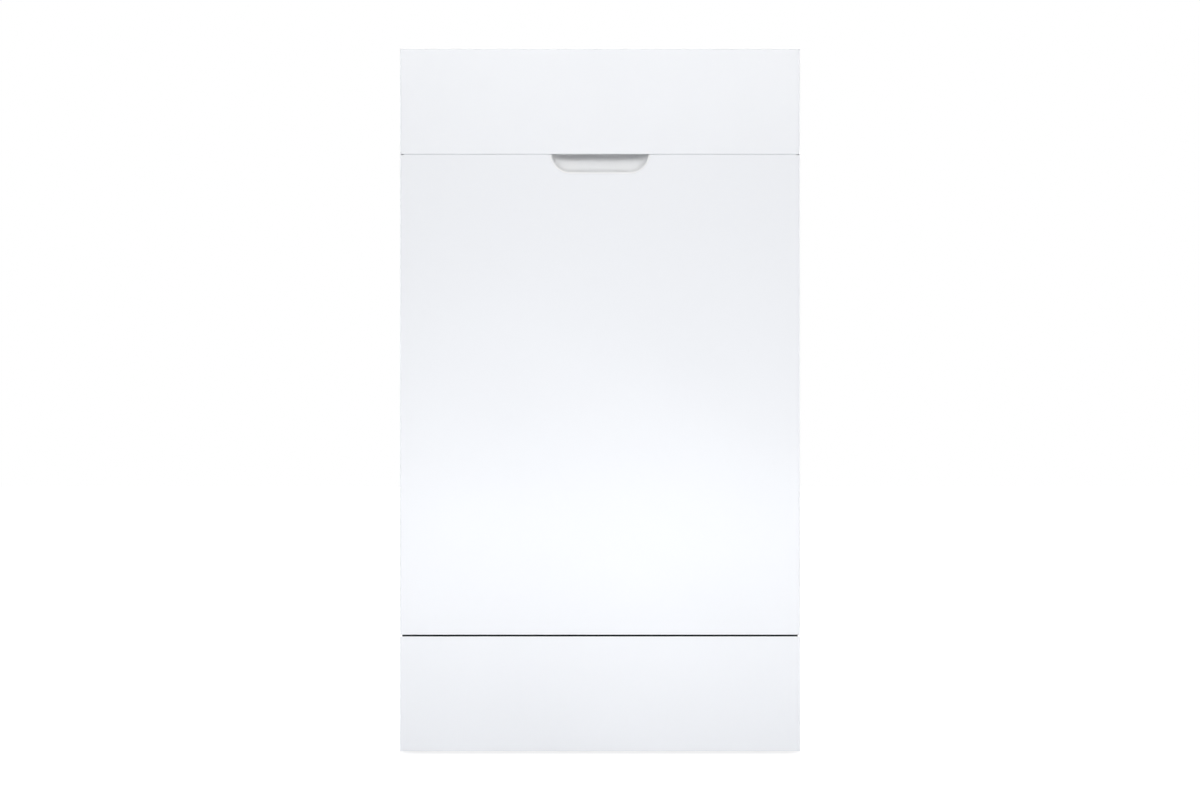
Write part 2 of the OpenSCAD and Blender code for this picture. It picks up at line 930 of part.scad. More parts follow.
module rear_feet() {
  color("#26282a")
    both()
      foot(foot_x, foot_back);
}

// Painted door skin with folded sides and foot
module door_outer_panel() {
  top = fascia_z - seam_gap;
  color("#fbfbfc")
    difference() {
      intersection() {
        translate([0, 0, door_bottom])
          linear_extrude(height = top - door_bottom)
            front_outline();
        slab_x(-half_w, half_w, [
          [front_y, door_bottom], [front_y, top], [rim_y, top], [rim_y, hinge_z + 1.4],
          [hinge_y + 5, door_bottom]
        ]);
      }
      block(
        [-half_w + door_skin, front_y + door_skin, door_bottom + door_skin],
        [half_w - door_skin, cab_y, top + over]
      );
      both()
        block(
          [notch_in, front_y + 3, door_bottom - over],
          [notch_out, cab_y, door_bottom + 2 * door_skin]
        );
      pocket_form(0);
    }
}

// Moulded strip above the seam with a rounded top edge
module fascia() {
  y1 = pocket_y + pocket_wall;
  color("#fbfbfc")
    difference() {
      union() {
        difference() {
          intersection() {
            translate([0, 0, fascia_z])
              linear_extrude(height = fascia_h)
                front_outline();
            union() {
              block([-half_w, front_y, fascia_z], [half_w, rim_y, body_h - edge_r]);
              block([-half_w, front_y + edge_r, fascia_z], [half_w, rim_y, body_h]);
              rod_x(-half_w, half_w, front_y + edge_r, body_h - edge_r, edge_r);
            }
          }
          block(
            [-half_w + fascia_t, front_y + fascia_t, fascia_z - over],
            [half_w - fascia_t, cab_y, body_h + over]
          );
        }
        block([-half_w + 4, pocket_y, fascia_z - 8], [half_w - 4, y1, fascia_z + 1]);
      }
      intersection() {
        pocket_form(pocket_wall);
        block([-half_w, pocket_y - 0.5, 0], [half_w, 0, fascia_z]);
      }
    }
}

// Moulded finger pocket that reaches up behind the fascia
module handle_pocket() {
  color("#f4f5f6")
    difference() {
      union() {
        pocket_form(pocket_wall);
        block(
          [-pocket_cy - pocket_r - 10, pocket_y, pocket_z - pocket_r - 8],
          [pocket_cy + pocket_r + 10, pocket_y + pocket_wall, fascia_z - 8.1]
        );
      }
      pocket_form(0);
      block(
        [-half_w, front_y - pocket_r - 5, pocket_z - pocket_r - 5],
        [half_w, pocket_y, pocket_z + pocket_r + 5]
      );
      block(
        [-half_w, front_y - pocket_r - 5, fascia_z],
        [half_w, front_y + fascia_t, pocket_z + pocket_r + 5]
      );
    }
}

// Raised middle of the inner door
module plateau() {
  intersection() {
    translate([0, 0, plateau_low - rise])
      linear_extrude(height = plateau_high - plateau_low + 2 * rise)
        polygon([
          [-plateau_hw - rise, rim_y - door_skin], [-plateau_hw, plateau_y],
          [plateau_hw, plateau_y], [plateau_hw + rise, rim_y - door_skin]
        ]);
    slab_x(-half_w, half_w, [
      [rim_y - door_skin, plateau_low - rise], [plateau_y, plateau_low],
      [plateau_y, plateau_high], [rim_y - door_skin, plateau_high + rise]
    ]);
  }
}

// Stainless inner door
module door_inner_panel() {
  t = door_skin;
  color("#c9ccce")
    difference() {
      union() {
        block([-half_w + t, rim_y - t, inner_low], [half_w - t, rim_y, fascia_z - seam_gap]);
        block(
          [-half_w + fascia_t, rim_y - t, fascia_z - seam_gap - over],
          [half_w - fascia_t, rim_y, strip_low]
        );
        plateau();
      }
      translate([0, -t, 0])
        plateau();
      block([-disp_hw + 1, plateau_y - 3, disp_low + 3], [disp_hw - 1, plateau_y + 1, disp_high - 3]);
      block([-14, rim_y - 2, latch_z - 2], [14, rim_y + 1, strip_low + over]);
    }
}

// Strip on top of the door that carries the keys
module control_strip() {
  color("#2a2c2e")
    difference() {
      block(
        [-half_w + fascia_t, front_y + fascia_t, strip_low],
        [half_w - fascia_t, rim_y, strip_top]
      );
      for (x = [power_x, program_x, half_load_x, start_x])
        translate([x, key_y, strip_low - over])
          linear_extrude(height = strip_t + 2 * over)
            pill(button_l + 2 * free_gap, button_w + 2 * free_gap);
      block(
        [display_x - display_hw, key_y - display_hd, strip_top - glass_t],
        [display_x + display_hw, key_y + display_hd, strip_top + over]
      );
      block(
        [display_x - display_hw + 2, key_y - display_hd + 2, strip_low - over],
        [display_x + display_hw - 2, key_y + display_hd - 2, strip_top]
      );
    }
}

module display_window() {
  color("#0c0e10")
    block(
      [display_x - display_hw, key_y - display_hd, strip_top - glass_t],
      [display_x + display_hw, key_y + display_hd, strip_top]
    );
}

// One key with its hidden collar
module key(x) {
  translate([x, key_y, key_low])
    linear_extrude(height = 3)
      pill(button_l + 4, button_w + 4);
  translate([x, key_y, key_low])
    linear_extrude(height = strip_top + button_travel - key_low)
      pill(button_l, button_w);
}

module power_button() {
  color("#d9dcdd")
    key(power_x);
}

module program_button() {
  color("#d9dcdd")
    key(program_x);
}

module half_load_button() {
  color("#d9dcdd")
    key(half_load_x);
}

module start_button() {
  color("#d9dcdd")
    key(start_x);
}

// Circuit boards with key switches and display block
module control_board() {
  top = board_z + board_t;
  color("#2f6b45") {
    block([power_x - 16, front_y + 6, board_z], [display_x + display_hw + 4, rim_y - 5, top]);
    block([half_load_x - 12, front_y + 6, board_z], [start_x + 26, rim_y - 5, top]);
    for (x = [power_x, program_x, half_load_x, start_x])
      block([x - 3, key_y - 3, top - 0.2], [x + 3, key_y + 3, key_low - button_travel - free_gap]);
    block(
      [display_x - display_hw + 4, key_y - display_hd + 3, top - 0.2],
      [display_x + display_hw - 4, key_y + display_hd - 3, strip_top - glass_t - 0.5]
    );
    for (x = [power_x - 10, display_x + display_hw - 1, half_load_x - 6, start_x + 20])
      rod_z(top - 0.2, strip_low, x, rim_y - 8, 2.5);
  }
}

// Detergent and rinse aid dispenser body
module dispenser_housing() {
  w = cup_wall;
  rail_y = disp_face;
  color("#e2e4e5")
    difference() {
      union() {
        block([-disp_hw - 4, plateau_y, disp_low - 1], [disp_hw + 4, disp_face, disp_high + 1]);
        block([cup_x0 - w, cup_back, cup_z0 - w], [cup_x1 + w, plateau_y + 1, cup_z1 + w]);
        block([10, cup_back, disp_low + 20], [disp_hw - 6, plateau_y + 1, disp_high - 10]);
        for (x = [cup_x0 - 8, cup_x1 + 4.4]) {
          block([x, rail_y, disp_low + 2], [x + 3.6, rail_y + 5, disp_high - 8]);
        }
      }
      block([cup_x0, cup_back + w, cup_z0], [cup_x1, disp_face + 10, cup_z1]);
      rod_y(disp_face - rinse_deep, disp_face + over, rinse_x, rinse_z, rinse_r + run_fit);
    }
}

// Lid that slides down off the detergent cup
module dispenser_lid() {
  color("#c4c8ca") {
    block([cup_x0 - lid_in, lid_y, cup_z0 - lid_in], [cup_x1 + lid_in, lid_y + lid_t, cup_z1 + lid_in]);
    block([-48, lid_y + 1, cup_z0 + 4], [-8, lid_y + lid_t + 2, cup_z0 + 10]);
  }
}

module rinse_aid_cap() {
  color("#c4c8ca") {
    rod_y(disp_face - rinse_deep + 2, disp_face + 3, rinse_x, rinse_z, rinse_r);
    block([rinse_x - 15, disp_face + 2, rinse_z - 2.5], [rinse_x + 15, disp_face + 7, rinse_z + 2.5]);
  }
}

// Latch case above the door edge
module latch_body() {
  color("#2a2c2e")
    difference() {
      block([-25, front_y + 5, latch_z - 10], [25, rim_y - 2, strip_low - 0.5]);
      block([-9, hook_pivot_y - 5, latch_z - 1.5], [9, rim_y, strip_low + over]);
    }
  color("#2a2c2e")
    rod_x(-9, 9, hook_pivot_y, hook_z + 1.5, 1);
}

module latch_hook() {
  color("#8d9194")
    difference() {
      union() {
        block([-4, hook_pivot_y, hook_z], [4, hook_tip_y, hook_z + 2.6]);
        rod_x(-4, 4, hook_pivot_y, hook_z + 1.5, 2.2);
      }
      rod_x(-5, 5, hook_pivot_y, hook_z + 1.5, 1 + run_fit);
    }
}

// Arms and pins that the door turns on
module hinge_arms() {
  color("#8d9194")
    both() {
      slab_x(arm_x, arm_x + arm_t, [
        [hinge_y - 11, hinge_z - 9], [hinge_y + 9, hinge_z - 9], [hinge_y + 12, hinge_z + 20],
        [hinge_y + 12, hinge_z + 120], [hinge_y - 11, hinge_z + 120]
      ]);
      rod_x(plate_x - 1, arm_x + arm_t, hinge_y, hinge_z, pin_r);
      rod_x(arm_x, spring_x1, hinge_y, hinge_z, pin_r - 0.1);
      block(
        [arm_x + arm_t - 1, hinge_y - 10, hinge_z + 50],
        [half_w - door_skin, hinge_y + 8, hinge_z + 110]
      );
    }
}

// Wound springs on the hinge pins that balance the door
module door_springs() {
  color("#6f7173")
    both()
      difference() {
        rod_x(spring_x0, spring_x1, hinge_y, hinge_z, spring_r);
        rod_x(spring_x0 - over, spring_x1 + over, hinge_y, hinge_z, spring_in_r);
      }
}

// Bars along x and y and posts of one wire basket
module wire_floor(hw, y0, y1, z, pitch, rows) {
  for (i = [-4 : 4])
    rod_y(y0, y1, i * pitch, z, wire_r);
  for (y = rows)
    rod_x(-hw - wire_r, hw + wire_r, y, z + 2 * wire_r + seam, wire_r);
}

module wire_walls(hw, y0, y1, z, post, rim, pitch, rows) {
  r = rim_wire_r;
  top = rim - r - seam;
  for (i = [-3 : 3])
    for (y = [y0 + wire_r, y1 - wire_r])
      rod_z(z + wire_r + seam, top, i * pitch, y, wire_r);
  for (y = rows)
    both()
      rod_z(post, top, hw, y, wire_r);
  both()
    rod_y(y0 - r + wire_r, y1 + r - wire_r, hw, rim, r);
  for (y = [y0 + wire_r, y1 - wire_r])
    rod_x(-hw + r + seam, hw - r - seam, y, rim, r);
}

module upper_rack_basket() {
  color("#cfd3d6") {
    wire_floor(up_hw, up_front, up_back, up_floor_z, up_pitch_x, up_cross_y);
    wire_walls(
      up_hw, up_front, up_back, up_floor_z, up_post, up_rim_z, up_pitch_x, up_cross_y
    );
    both()
      block(
        [up_hw + wire_r + seam, rail_y0 + 6, tongue_z - tongue_h / 2],
        [slide_x0 + 5, rail_y1 - 6, tongue_z + tongue_h / 2]
      );
    block([-12, mid_y, feed_z0], [12, dock_y - 0.5, feed_z1]);
    rod_z(feed_z0 - 2, feed_z1, 0, mid_y, post_r + 2);
    rod_z(up_arm_z - 2, feed_z0, 0, mid_y, bearing_r);
    rod_z(up_arm_z - 5, up_arm_z - rest_gap, 0, mid_y, bearing_r + 4);
    for (y = [shelf_y0, shelf_y1])
      difference() {
        block([-up_hw + wire_r + seam, y - 3, shelf_z - 6], [shelf_x + 5, y + 3, shelf_z + 5]);
        rod_y(y - 4, y + 4, shelf_x, shelf_z, wire_r + run_fit);
      }
  }
}

// Folding shelf for cups, shown level
module cup_shelf() {
  x1 = shelf_x + shelf_w;
  color("#b8c4cc") {
    rod_y(shelf_mid - shelf_end, shelf_mid + shelf_end, shelf_x, shelf_z, wire_r);
    rod_y(shelf_mid - shelf_end, shelf_mid + shelf_end, x1, shelf_z, wire_r);
    for (i = [-4 : 4])
      rod_x(shelf_x + wire_r + seam, x1 - wire_r - seam, shelf_mid + i * 22, shelf_z, wire_r - 0.3);
  }
}

module lower_rack_basket() {
  color("#cfd3d6") {
    wire_floor(low_hw, rack_front, rack_back, low_floor_z, low_pitch_x, low_cross_y);
    wire_walls(
      low_hw, rack_front, rack_back, low_floor_z, low_post, low_rim_z, low_pitch_x, low_cross_y
    );
    for (y = [wheel_front_y, wheel_back_y])
      both() {
        block([hanger_x, y - 7, wheel_z - 7], [hanger_x + 4, y + 7, wheel_z + 40]);
        rod_x(hanger_x + 3, wheel_x0 + wheel_w + 1, y, wheel_z, axle_r);
      }
    for (s = [-1, 1])
      difference() {
        block([tine_x - 5, s * (tine_end - 4) - 4, low_cross + wire_r + seam],
          [tine_x + 5, s * (tine_end - 4) + 4, tine_z + 6]);
        rod_y(-tine_end - over, tine_end + over, tine_x, tine_z, wire_r + run_fit);
      }
  }
}

// Wheels of one axle line
module wheel_pair(y) {
  both()
    difference() {
      rod_x(wheel_x0, wheel_x0 + wheel_w, y, wheel_z, wheel_r);
      rod_x(wheel_x0 - over, wheel_x0 + wheel_w + over, y, wheel_z, axle_r + run_fit);
    }
}

module front_rack_wheels() {
  color("#8b8f92")
    wheel_pair(wheel_front_y);
}

module rear_rack_wheels() {
  color("#8b8f92")
    wheel_pair(wheel_back_y);
}

// Row of folding tines for plates
module plate_tines() {
  color("#b8c4cc") {
    rod_y(-tine_end, tine_end, tine_x, tine_z, wire_r);
    for (i = [-5 : 5])
      rod_z(tine_z + wire_r + seam, tine_top, tine_x, i * tine_pitch, wire_r);
  }
}

// Cutlery basket with six compartments and a bow handle
module cutlery_basket() {
  w = cut_wall;
  cx = (cut_x1 - cut_x0 - 4 * w) / 3;
  cy = (cut_y1 - cut_y0 - 3 * w) / 2;
  mid = (cut_y0 + cut_y1) / 2;
  color("#9aa0a4") {
    difference() {
      block([cut_x0, cut_y0, cut_z0], [cut_x1, cut_y1, cut_z1]);
      for (i = [0 : 2])
        for (j = [0 : 1])
          block(
            [cut_x0 + w + i * (cx + w), cut_y0 + w + j * (cy + w), cut_z0 + w],
            [cut_x0 + w + i * (cx + w) + cx, cut_y0 + w + j * (cy + w) + cy, cut_z1 + over]
          );
    }
    block([cut_x0, mid - 3, cut_z1 - 1], [cut_x0 + 3, mid + 3, cut_z1 + 34]);
    block([cut_x1 - 3, mid - 3, cut_z1 - 1], [cut_x1, mid + 3, cut_z1 + 34]);
    block([cut_x0, mid - 3, cut_z1 + 31], [cut_x1, mid + 3, cut_z1 + 34]);
  }
}

base_tray();
side_panel_left();
side_panel_right();
top_cover();
back_panel();
tub_wrap();
tub_back_wall();
tub_floor();
door_gasket();
sill_seal();
kick_plate();
cabinet_screws();
sump();
circulation_pump();
drain_pump();
water_softener();
water_chamber();
inlet_valve();
drain_connector();
mains_inlet();
riser_tube();
hinge_brackets();
latch_striker();
upper_rack_guides();
fine_filter();
filter_cylinder();
salt_cap();
leak_float();
lower_spray_arm();
front_foot_left();
front_foot_right();
rear_feet();
pump_impeller();
door_outer_panel();
fascia();
handle_pocket();
door_inner_panel();
control_strip();
display_window();
control_board();
dispenser_housing();
dispenser_lid();
rinse_aid_cap();
latch_body();
latch_hook();
hinge_arms();
door_springs();
power_button();
program_button();
half_load_button();
start_button();
upper_rack_basket();
upper_rack_runners();
upper_spray_arm();
cup_shelf();
lower_rack_basket();
front_rack_wheels();
rear_rack_wheels();
plate_tines();
cutlery_basket();
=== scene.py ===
# %% [markdown]
# # A slim white dishwasher
#
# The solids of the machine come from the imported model, already in place and in metres. This script gives
# them their finishes, and puts a finer piece where the plain solid is too coarse: bent wire instead of
# straight bars, rounded edges instead of sharp ones. Every piece rides on the body that carries it, so the
# door, the racks and the keys still move.

# %% Load the frame
import json
import math
import bpy
import bmesh
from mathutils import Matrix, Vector

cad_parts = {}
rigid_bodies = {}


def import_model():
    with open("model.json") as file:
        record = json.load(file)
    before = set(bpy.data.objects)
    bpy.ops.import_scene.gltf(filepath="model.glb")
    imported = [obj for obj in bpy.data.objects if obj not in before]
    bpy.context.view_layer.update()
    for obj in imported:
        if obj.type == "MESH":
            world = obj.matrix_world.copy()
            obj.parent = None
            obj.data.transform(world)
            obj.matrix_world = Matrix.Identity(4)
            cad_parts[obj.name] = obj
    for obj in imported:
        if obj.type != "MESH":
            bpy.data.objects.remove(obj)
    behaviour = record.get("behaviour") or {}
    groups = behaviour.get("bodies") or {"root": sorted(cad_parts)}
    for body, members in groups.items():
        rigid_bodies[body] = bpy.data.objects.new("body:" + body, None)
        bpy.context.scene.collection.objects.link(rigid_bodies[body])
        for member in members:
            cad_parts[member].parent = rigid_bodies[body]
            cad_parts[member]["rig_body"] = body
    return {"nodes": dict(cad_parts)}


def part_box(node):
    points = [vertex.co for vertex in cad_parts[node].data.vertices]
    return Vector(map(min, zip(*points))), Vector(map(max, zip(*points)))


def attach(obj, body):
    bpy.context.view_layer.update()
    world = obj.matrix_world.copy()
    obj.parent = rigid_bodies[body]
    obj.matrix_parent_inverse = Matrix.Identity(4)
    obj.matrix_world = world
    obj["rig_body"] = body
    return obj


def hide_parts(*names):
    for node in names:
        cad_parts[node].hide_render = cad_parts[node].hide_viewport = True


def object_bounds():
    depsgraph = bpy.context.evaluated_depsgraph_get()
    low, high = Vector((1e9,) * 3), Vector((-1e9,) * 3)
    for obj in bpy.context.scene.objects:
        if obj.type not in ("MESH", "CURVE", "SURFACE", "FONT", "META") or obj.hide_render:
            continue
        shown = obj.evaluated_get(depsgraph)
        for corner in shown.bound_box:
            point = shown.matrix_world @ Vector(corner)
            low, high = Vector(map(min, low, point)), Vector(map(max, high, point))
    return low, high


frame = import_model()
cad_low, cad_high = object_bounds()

nodes = frame["nodes"]
MM = 0.001
print("nodes:", len(nodes), "box:", [round(v, 4) for v in (*cad_low, *cad_high)])

# %% [markdown]
# Four small helpers serve everything. Colours are written the way a paint shop gives them, as hex values in
# sRGB, while the renderer works in linear light, so one function converts them. Two fill a node's inputs,
# linked or fixed, and add a node, so that a material reads as a short list. The last puts something into the
# scene.

# %% Colour, node and object helpers
def linear(hex_colour):
    channels = [int(hex_colour[i:i + 2], 16) / 255 for i in (1, 3, 5)]
    return (*[c / 12.92 if c <= 0.04045 else ((c + 0.055) / 1.055) ** 2.4 for c in channels], 1.0)


def fill(tree, node, inputs):
    for name, value in inputs.items():
        if isinstance(value, bpy.types.NodeSocket):
            tree.links.new(value, node.inputs[name])
        else:
            node.inputs[name].default_value = value


def add(tree, kind, inputs=None, **settings):
    made = tree.nodes.new(kind)
    for name, value in settings.items():
        setattr(made, name, value)
    fill(tree, made, inputs or {})
    return made


def placed(name, data):
    made = bpy.data.objects.new(name, data)
    bpy.context.scene.collection.objects.link(made)
    return made


print("white enamel in linear light:", [round(c, 3) for c in linear("#f4f6fa")[:3]])

# %% [markdown]
# ## The studio
#
# The machine stands on a white floor in front of white paper. A floor that is only lit never gets quite
# white, so the part of it that the camera sees directly is lifted with some light of its own, chosen by the
# Light Path node. It gives nothing to the object. Far off, where no lamp reaches, the lift is full, and near
# the machine it is weaker, so the shadow at the feet stays. To every other ray the paper is a light grey, so
# that little light bounces up under the fascia and on the kick plate.

# %% Floor
FLOOR_HALF = 12.0
FLOOR_DROP = 0.2 * MM
LIFT = {"From Min": 0.7, "From Max": 2.6, "To Min": 0.86, "To Max": 1.0}


def seen_directly(tree):
    path = add(tree, "ShaderNodeLightPath").outputs
    seen = path["Is Camera Ray"]
    for other in ("Is Glossy Ray", "Is Transmission Ray"):
        seen = add(tree, "ShaderNodeMath", {0: seen, 1: path[other]}, operation="MAXIMUM").outputs[0]
    return seen


def paper_material():
    mat = bpy.data.materials.new("white_studio_paper")
    mat.use_nodes = True
    tree = mat.node_tree
    tree.nodes.clear()
    place = add(tree, "ShaderNodeTexCoord").outputs["Object"]
    away = add(tree, "ShaderNodeVectorMath", {0: place}, operation="LENGTH")
    level = add(tree, "ShaderNodeMapRange", {"Value": away.outputs["Value"], **LIFT},
                interpolation_type="SMOOTHSTEP")
    lift = add(tree, "ShaderNodeMath", {0: seen_directly(tree), 1: level.outputs[0]}, operation="MULTIPLY")
    paper = add(tree, "ShaderNodeBsdfDiffuse", {"Color": linear("#9d9ea0")})
    glow = add(tree, "ShaderNodeEmission", {"Strength": lift.outputs[0]})
    both = add(tree, "ShaderNodeAddShader", {0: paper.outputs[0], 1: glow.outputs[0]})
    add(tree, "ShaderNodeOutputMaterial", {"Surface": both.outputs[0]})
    return mat


def build_floor():
    mesh = bpy.data.meshes.new("studio_floor")
    corners = [(x * FLOOR_HALF, y * FLOOR_HALF, -FLOOR_DROP) for x, y in ((-1, -1), (1, -1), (1, 1), (-1, 1))]
    mesh.from_pydata(corners, [], [(0, 1, 2, 3)])
    mesh.materials.append(paper_material())
    sheet = placed("studio_floor", mesh)
    return sheet


print("floor:", [round(v, 2) for v in build_floor().dimensions])

# %% [markdown]
# The world is white paper to the eye and a dim grey to everything else. Two softboxes in front do most of
# the work: a wide one at a low angle, whose light still reaches under the fascia into the finger pocket, and
# a tall one above it. A narrow strip close to the floor makes the lower door the brightest part of the front.
# The others fill in from above, from both sides and from behind, so that no face of the machine goes grey.
# Each lamp has its watts, its place, the point it looks at, its width and height, and its spread in degrees.

# %% World and lamps
SKY_LEVEL = 0.08
LAMPS = {
    "front_mid": (8.1, (0.0, -3.4, 1.38), (0.0, -0.3, 0.12), 1.8, 0.8, 74),
    "front_high": (10.9, (0.0, -3.2, 2.0), (0.0, -0.3, 0.3), 1.8, 2.2, 90),
    "toe_strip": (0.25, (0.0, -0.9, 0.24), (0.0, -0.3, 0.2), 0.9, 0.14, 84),
    "top": (6.0, (0.0, 0.45, 2.8), (0.0, 0.1, 0.4), 1.6, 1.6, 90),
    "left": (14.0, (-2.8, 0.4, 1.1), (0.0, 0.1, 0.4), 1.4, 1.6, 100),
    "right": (14.0, (2.8, 0.4, 1.1), (0.0, 0.1, 0.4), 1.4, 1.6, 100),
    "back": (18.0, (0.0, 3.0, 1.5), (0.0, 0.0, 0.4), 3.0, 2.6, 100)}


def build_world():
    world = bpy.data.worlds.new("studio_air")
    bpy.context.scene.world = world
    world.use_nodes = True
    tree = world.node_tree
    tree.nodes.clear()
    level = add(tree, "ShaderNodeMapRange", {"Value": seen_directly(tree), "To Min": SKY_LEVEL})
    air = add(tree, "ShaderNodeBackground", {"Color": linear("#ffffff"), "Strength": level.outputs[0]})
    add(tree, "ShaderNodeOutputWorld", {"Surface": air.outputs[0]})


def softbox(name, watts, place, target, width, height, spread_deg):
    lamp = bpy.data.lights.new(name, "AREA")
    lamp.shape = "RECTANGLE"
    lamp.size, lamp.size_y = width, height
    lamp.energy = watts
    lamp.spread = math.radians(spread_deg)
    holder = placed(name, lamp)
    holder.location = place
    holder.rotation_euler = (Vector(target) - Vector(place)).to_track_quat("-Z", "Y").to_euler()


build_world()
for name, settings in LAMPS.items():
    softbox(name, *settings)
print("lamps:", len(LAMPS))

# %% [markdown]
# The camera stands straight in front. The front is 448 mm wide and fills 400 of the picture's 1200 pixels, so
# the picture is 1344 mm wide at the door. From four metres that takes a long lens, which keeps the sides of
# the cabinet out of sight.

# %% Camera
PICTURE_PX = 1200
FRONT_PX = 400
CAMERA_DISTANCE = 4.0
CAMERA_HEIGHT = 0.3965
SENSOR_MM = 36.0


def build_camera():
    picture_width = (cad_high.x - cad_low.x) * PICTURE_PX / FRONT_PX
    lens = bpy.data.cameras.new("front_camera")
    lens.sensor_width = SENSOR_MM
    lens.lens = SENSOR_MM * CAMERA_DISTANCE / picture_width
    camera = placed("front_camera", lens)
    camera.location = (0.0, cad_low.y - CAMERA_DISTANCE, CAMERA_HEIGHT)
    camera.rotation_euler = (math.radians(90), 0.0, 0.0)
    bpy.context.scene.camera = camera
    return lens.lens


print("lens:", round(build_camera(), 2), "mm")
bpy.context.scene.view_settings.view_transform = "Standard"

# %% [markdown]
# ## Finishes
#
# Most finishes here share three things: a base colour, a fine relief and a roughness that isn't the same
# everywhere, since nothing on a real surface is quite even. `finish` starts such a material and hands it back
# with the object coordinates in metres, and each finish adds its own pattern to them.

# %% Start of a finish
def dress(mat, inputs):
    fill(mat.node_tree, mat.node_tree.nodes["Principled BSDF"], inputs)


def finish(name, colour, roughness, metallic=0.0):
    mat = bpy.data.materials.new(name)
    mat.use_nodes = True
    mat.diffuse_color = linear(colour)
    dress(mat, {"Base Color": linear(colour), "Roughness": roughness, "Metallic": metallic})
    return mat, add(mat.node_tree, "ShaderNodeTexCoord").outputs["Object"]


def noise(mat, place, grain_mm, detail=2.0):
    values = {"Vector": place, "Scale": 1000 / grain_mm, "Detail": detail}
    return add(mat.node_tree, "ShaderNodeTexNoise", values).outputs["Fac"]


def relief(mat, height, depth_mm, strength=1.0):
    values = {"Height": height, "Distance": depth_mm * MM, "Strength": strength}
    dress(mat, {"Normal": add(mat.node_tree, "ShaderNodeBump", values).outputs[0]})


def uneven(mat, value, low, high):
    values = {"Value": value, "From Min": 0.3, "From Max": 0.7, "To Min": low, "To Max": high}
    dress(mat, {"Roughness": add(mat.node_tree, "ShaderNodeMapRange", values).outputs[0]})


def two_tone(mat, value, dark, light, low=0.35, high=0.65):
    ramp = add(mat.node_tree, "ShaderNodeValToRGB", {"Fac": value})
    for step, (position, colour) in enumerate(((low, dark), (high, light))):
        ramp.color_ramp.elements[step].position = position
        ramp.color_ramp.elements[step].color = linear(colour)
    dress(mat, {"Base Color": ramp.outputs["Color"]})


print("finish helpers ready")

# %% [markdown]
# Powder paint on sheet steel flows out in the oven, and sets with a faint orange peel of about two
# millimetres. It is satin, and the white has a trace of blue.

# %% Powder paint
def powder_paint(name, light, dark):
    mat, place = finish(name, light, 0.38)
    relief(mat, noise(mat, place, 2.2, 1.0), 0.012, 0.5)
    cloud = noise(mat, place, 260)
    uneven(mat, cloud, 0.34, 0.42)
    two_tone(mat, cloud, dark, light, 0.3, 0.7)
    dress(mat, {"Coat Weight": 0.12, "Coat Roughness": 0.25})
    return mat


door_paint = powder_paint("satin_white_door_paint", "#f5f7fb", "#f2f4f8")
cabinet_paint = powder_paint("satin_white_cabinet_paint", "#eff1f4", "#ebedf1")
print("paints:", door_paint.name, cabinet_paint.name)

# %% [markdown]
# The fascia and the finger pocket are moulded in white ABS. The tool is polished, so the surface is smoother
# than the paint and reflects a little more, with the softest trace of flow. The pocket's white is set
# brighter than the fascia's as painted light, to brighten the recess where the lamps reach less.

# %% Moulded white
def moulded_white(name, light, dark):
    mat, place = finish(name, light, 0.3)
    flow = noise(mat, place, 90)
    uneven(mat, flow, 0.27, 0.34)
    relief(mat, noise(mat, place, 1.4, 1.0), 0.004, 0.4)
    two_tone(mat, flow, dark, light, 0.3, 0.7)
    dress(mat, {"IOR": 1.52})
    return mat


white_abs = moulded_white("moulded_white_abs", "#f5f7fb", "#f2f4f8")
# Painted light: the pocket's white is brighter than the fascia's to lift the recess.
pocket_abs_painted_brighter = moulded_white("moulded_white_abs_painted_brighter", "#ffffff", "#fcfdfe")
print("mouldings:", white_abs.name, pocket_abs_painted_brighter.name)

# %% [markdown]
# Stainless sheet in a tub is brushed: thousands of parallel scratches that stretch every reflection. A noise
# that is squeezed across the grain and drawn out along it gives the scratches, both as relief and as a
# change of roughness. The grain is drawn about 0.7 mm wide, coarser than real, so that it shows.

# %% Brushed stainless
def brushed_stainless(name, stretch):
    mat, place = finish(name, "#cfd1d2", 0.30, 1.0)
    drawn = add(mat.node_tree, "ShaderNodeMapping", {"Vector": place, "Scale": stretch})
    grain = noise(mat, drawn.outputs[0], 0.7)
    relief(mat, grain, 0.01, 0.25)
    uneven(mat, grain, 0.25, 0.36)
    two_tone(mat, grain, "#c2c4c6", "#cfd1d2", 0.3, 0.7)
    return mat


stainless_along_z = brushed_stainless("brushed_stainless_upright", (1.0, 1.0, 0.008))
stainless_along_y = brushed_stainless("brushed_stainless_lengthwise", (1.0, 0.008, 1.0))
print("stainless:", stainless_along_z.name, stainless_along_y.name)

# %% [markdown]
# The sieve round the filter is stainless sheet with etched holes of 0.9 mm on a 2.2 mm grid. They are far too
# many to cut, and far too small to see into, so each is a dip in the relief and a dark dot in the colour,
# painted shade for the dark inside of the hole.

# %% Perforated sieve
def perforated_stainless():
    mat, place = finish("perforated_stainless_sieve", "#b9bcbe", 0.32, 1.0)
    dots = add(mat.node_tree, "ShaderNodeTexVoronoi", {"Vector": place, "Scale": 1000 / 2.2,
                                                       "Randomness": 0.0}, voronoi_dimensions="2D")
    hole = add(mat.node_tree, "ShaderNodeMapRange", {"Value": dots.outputs["Distance"], "From Min": 0.24,
                                                     "From Max": 0.30}).outputs[0]
    relief(mat, hole, 0.25, 0.8)
    # The dark dots are painted shade: each stands for the shadowed inside seen through a hole.
    two_tone(mat, hole, "#26282a", "#c4c7c9", 0.2, 0.8)
    return mat


sieve_steel = perforated_stainless()
print("sieve:", sieve_steel.name)

# %% [markdown]
# Hot-dip galvanised sheet shows its zinc crystals as a patchwork of greys, about ten millimetres across.
# Voronoi cells give the patches. Small plated parts, such as hinges and screws, are smooth and a bit bluer.

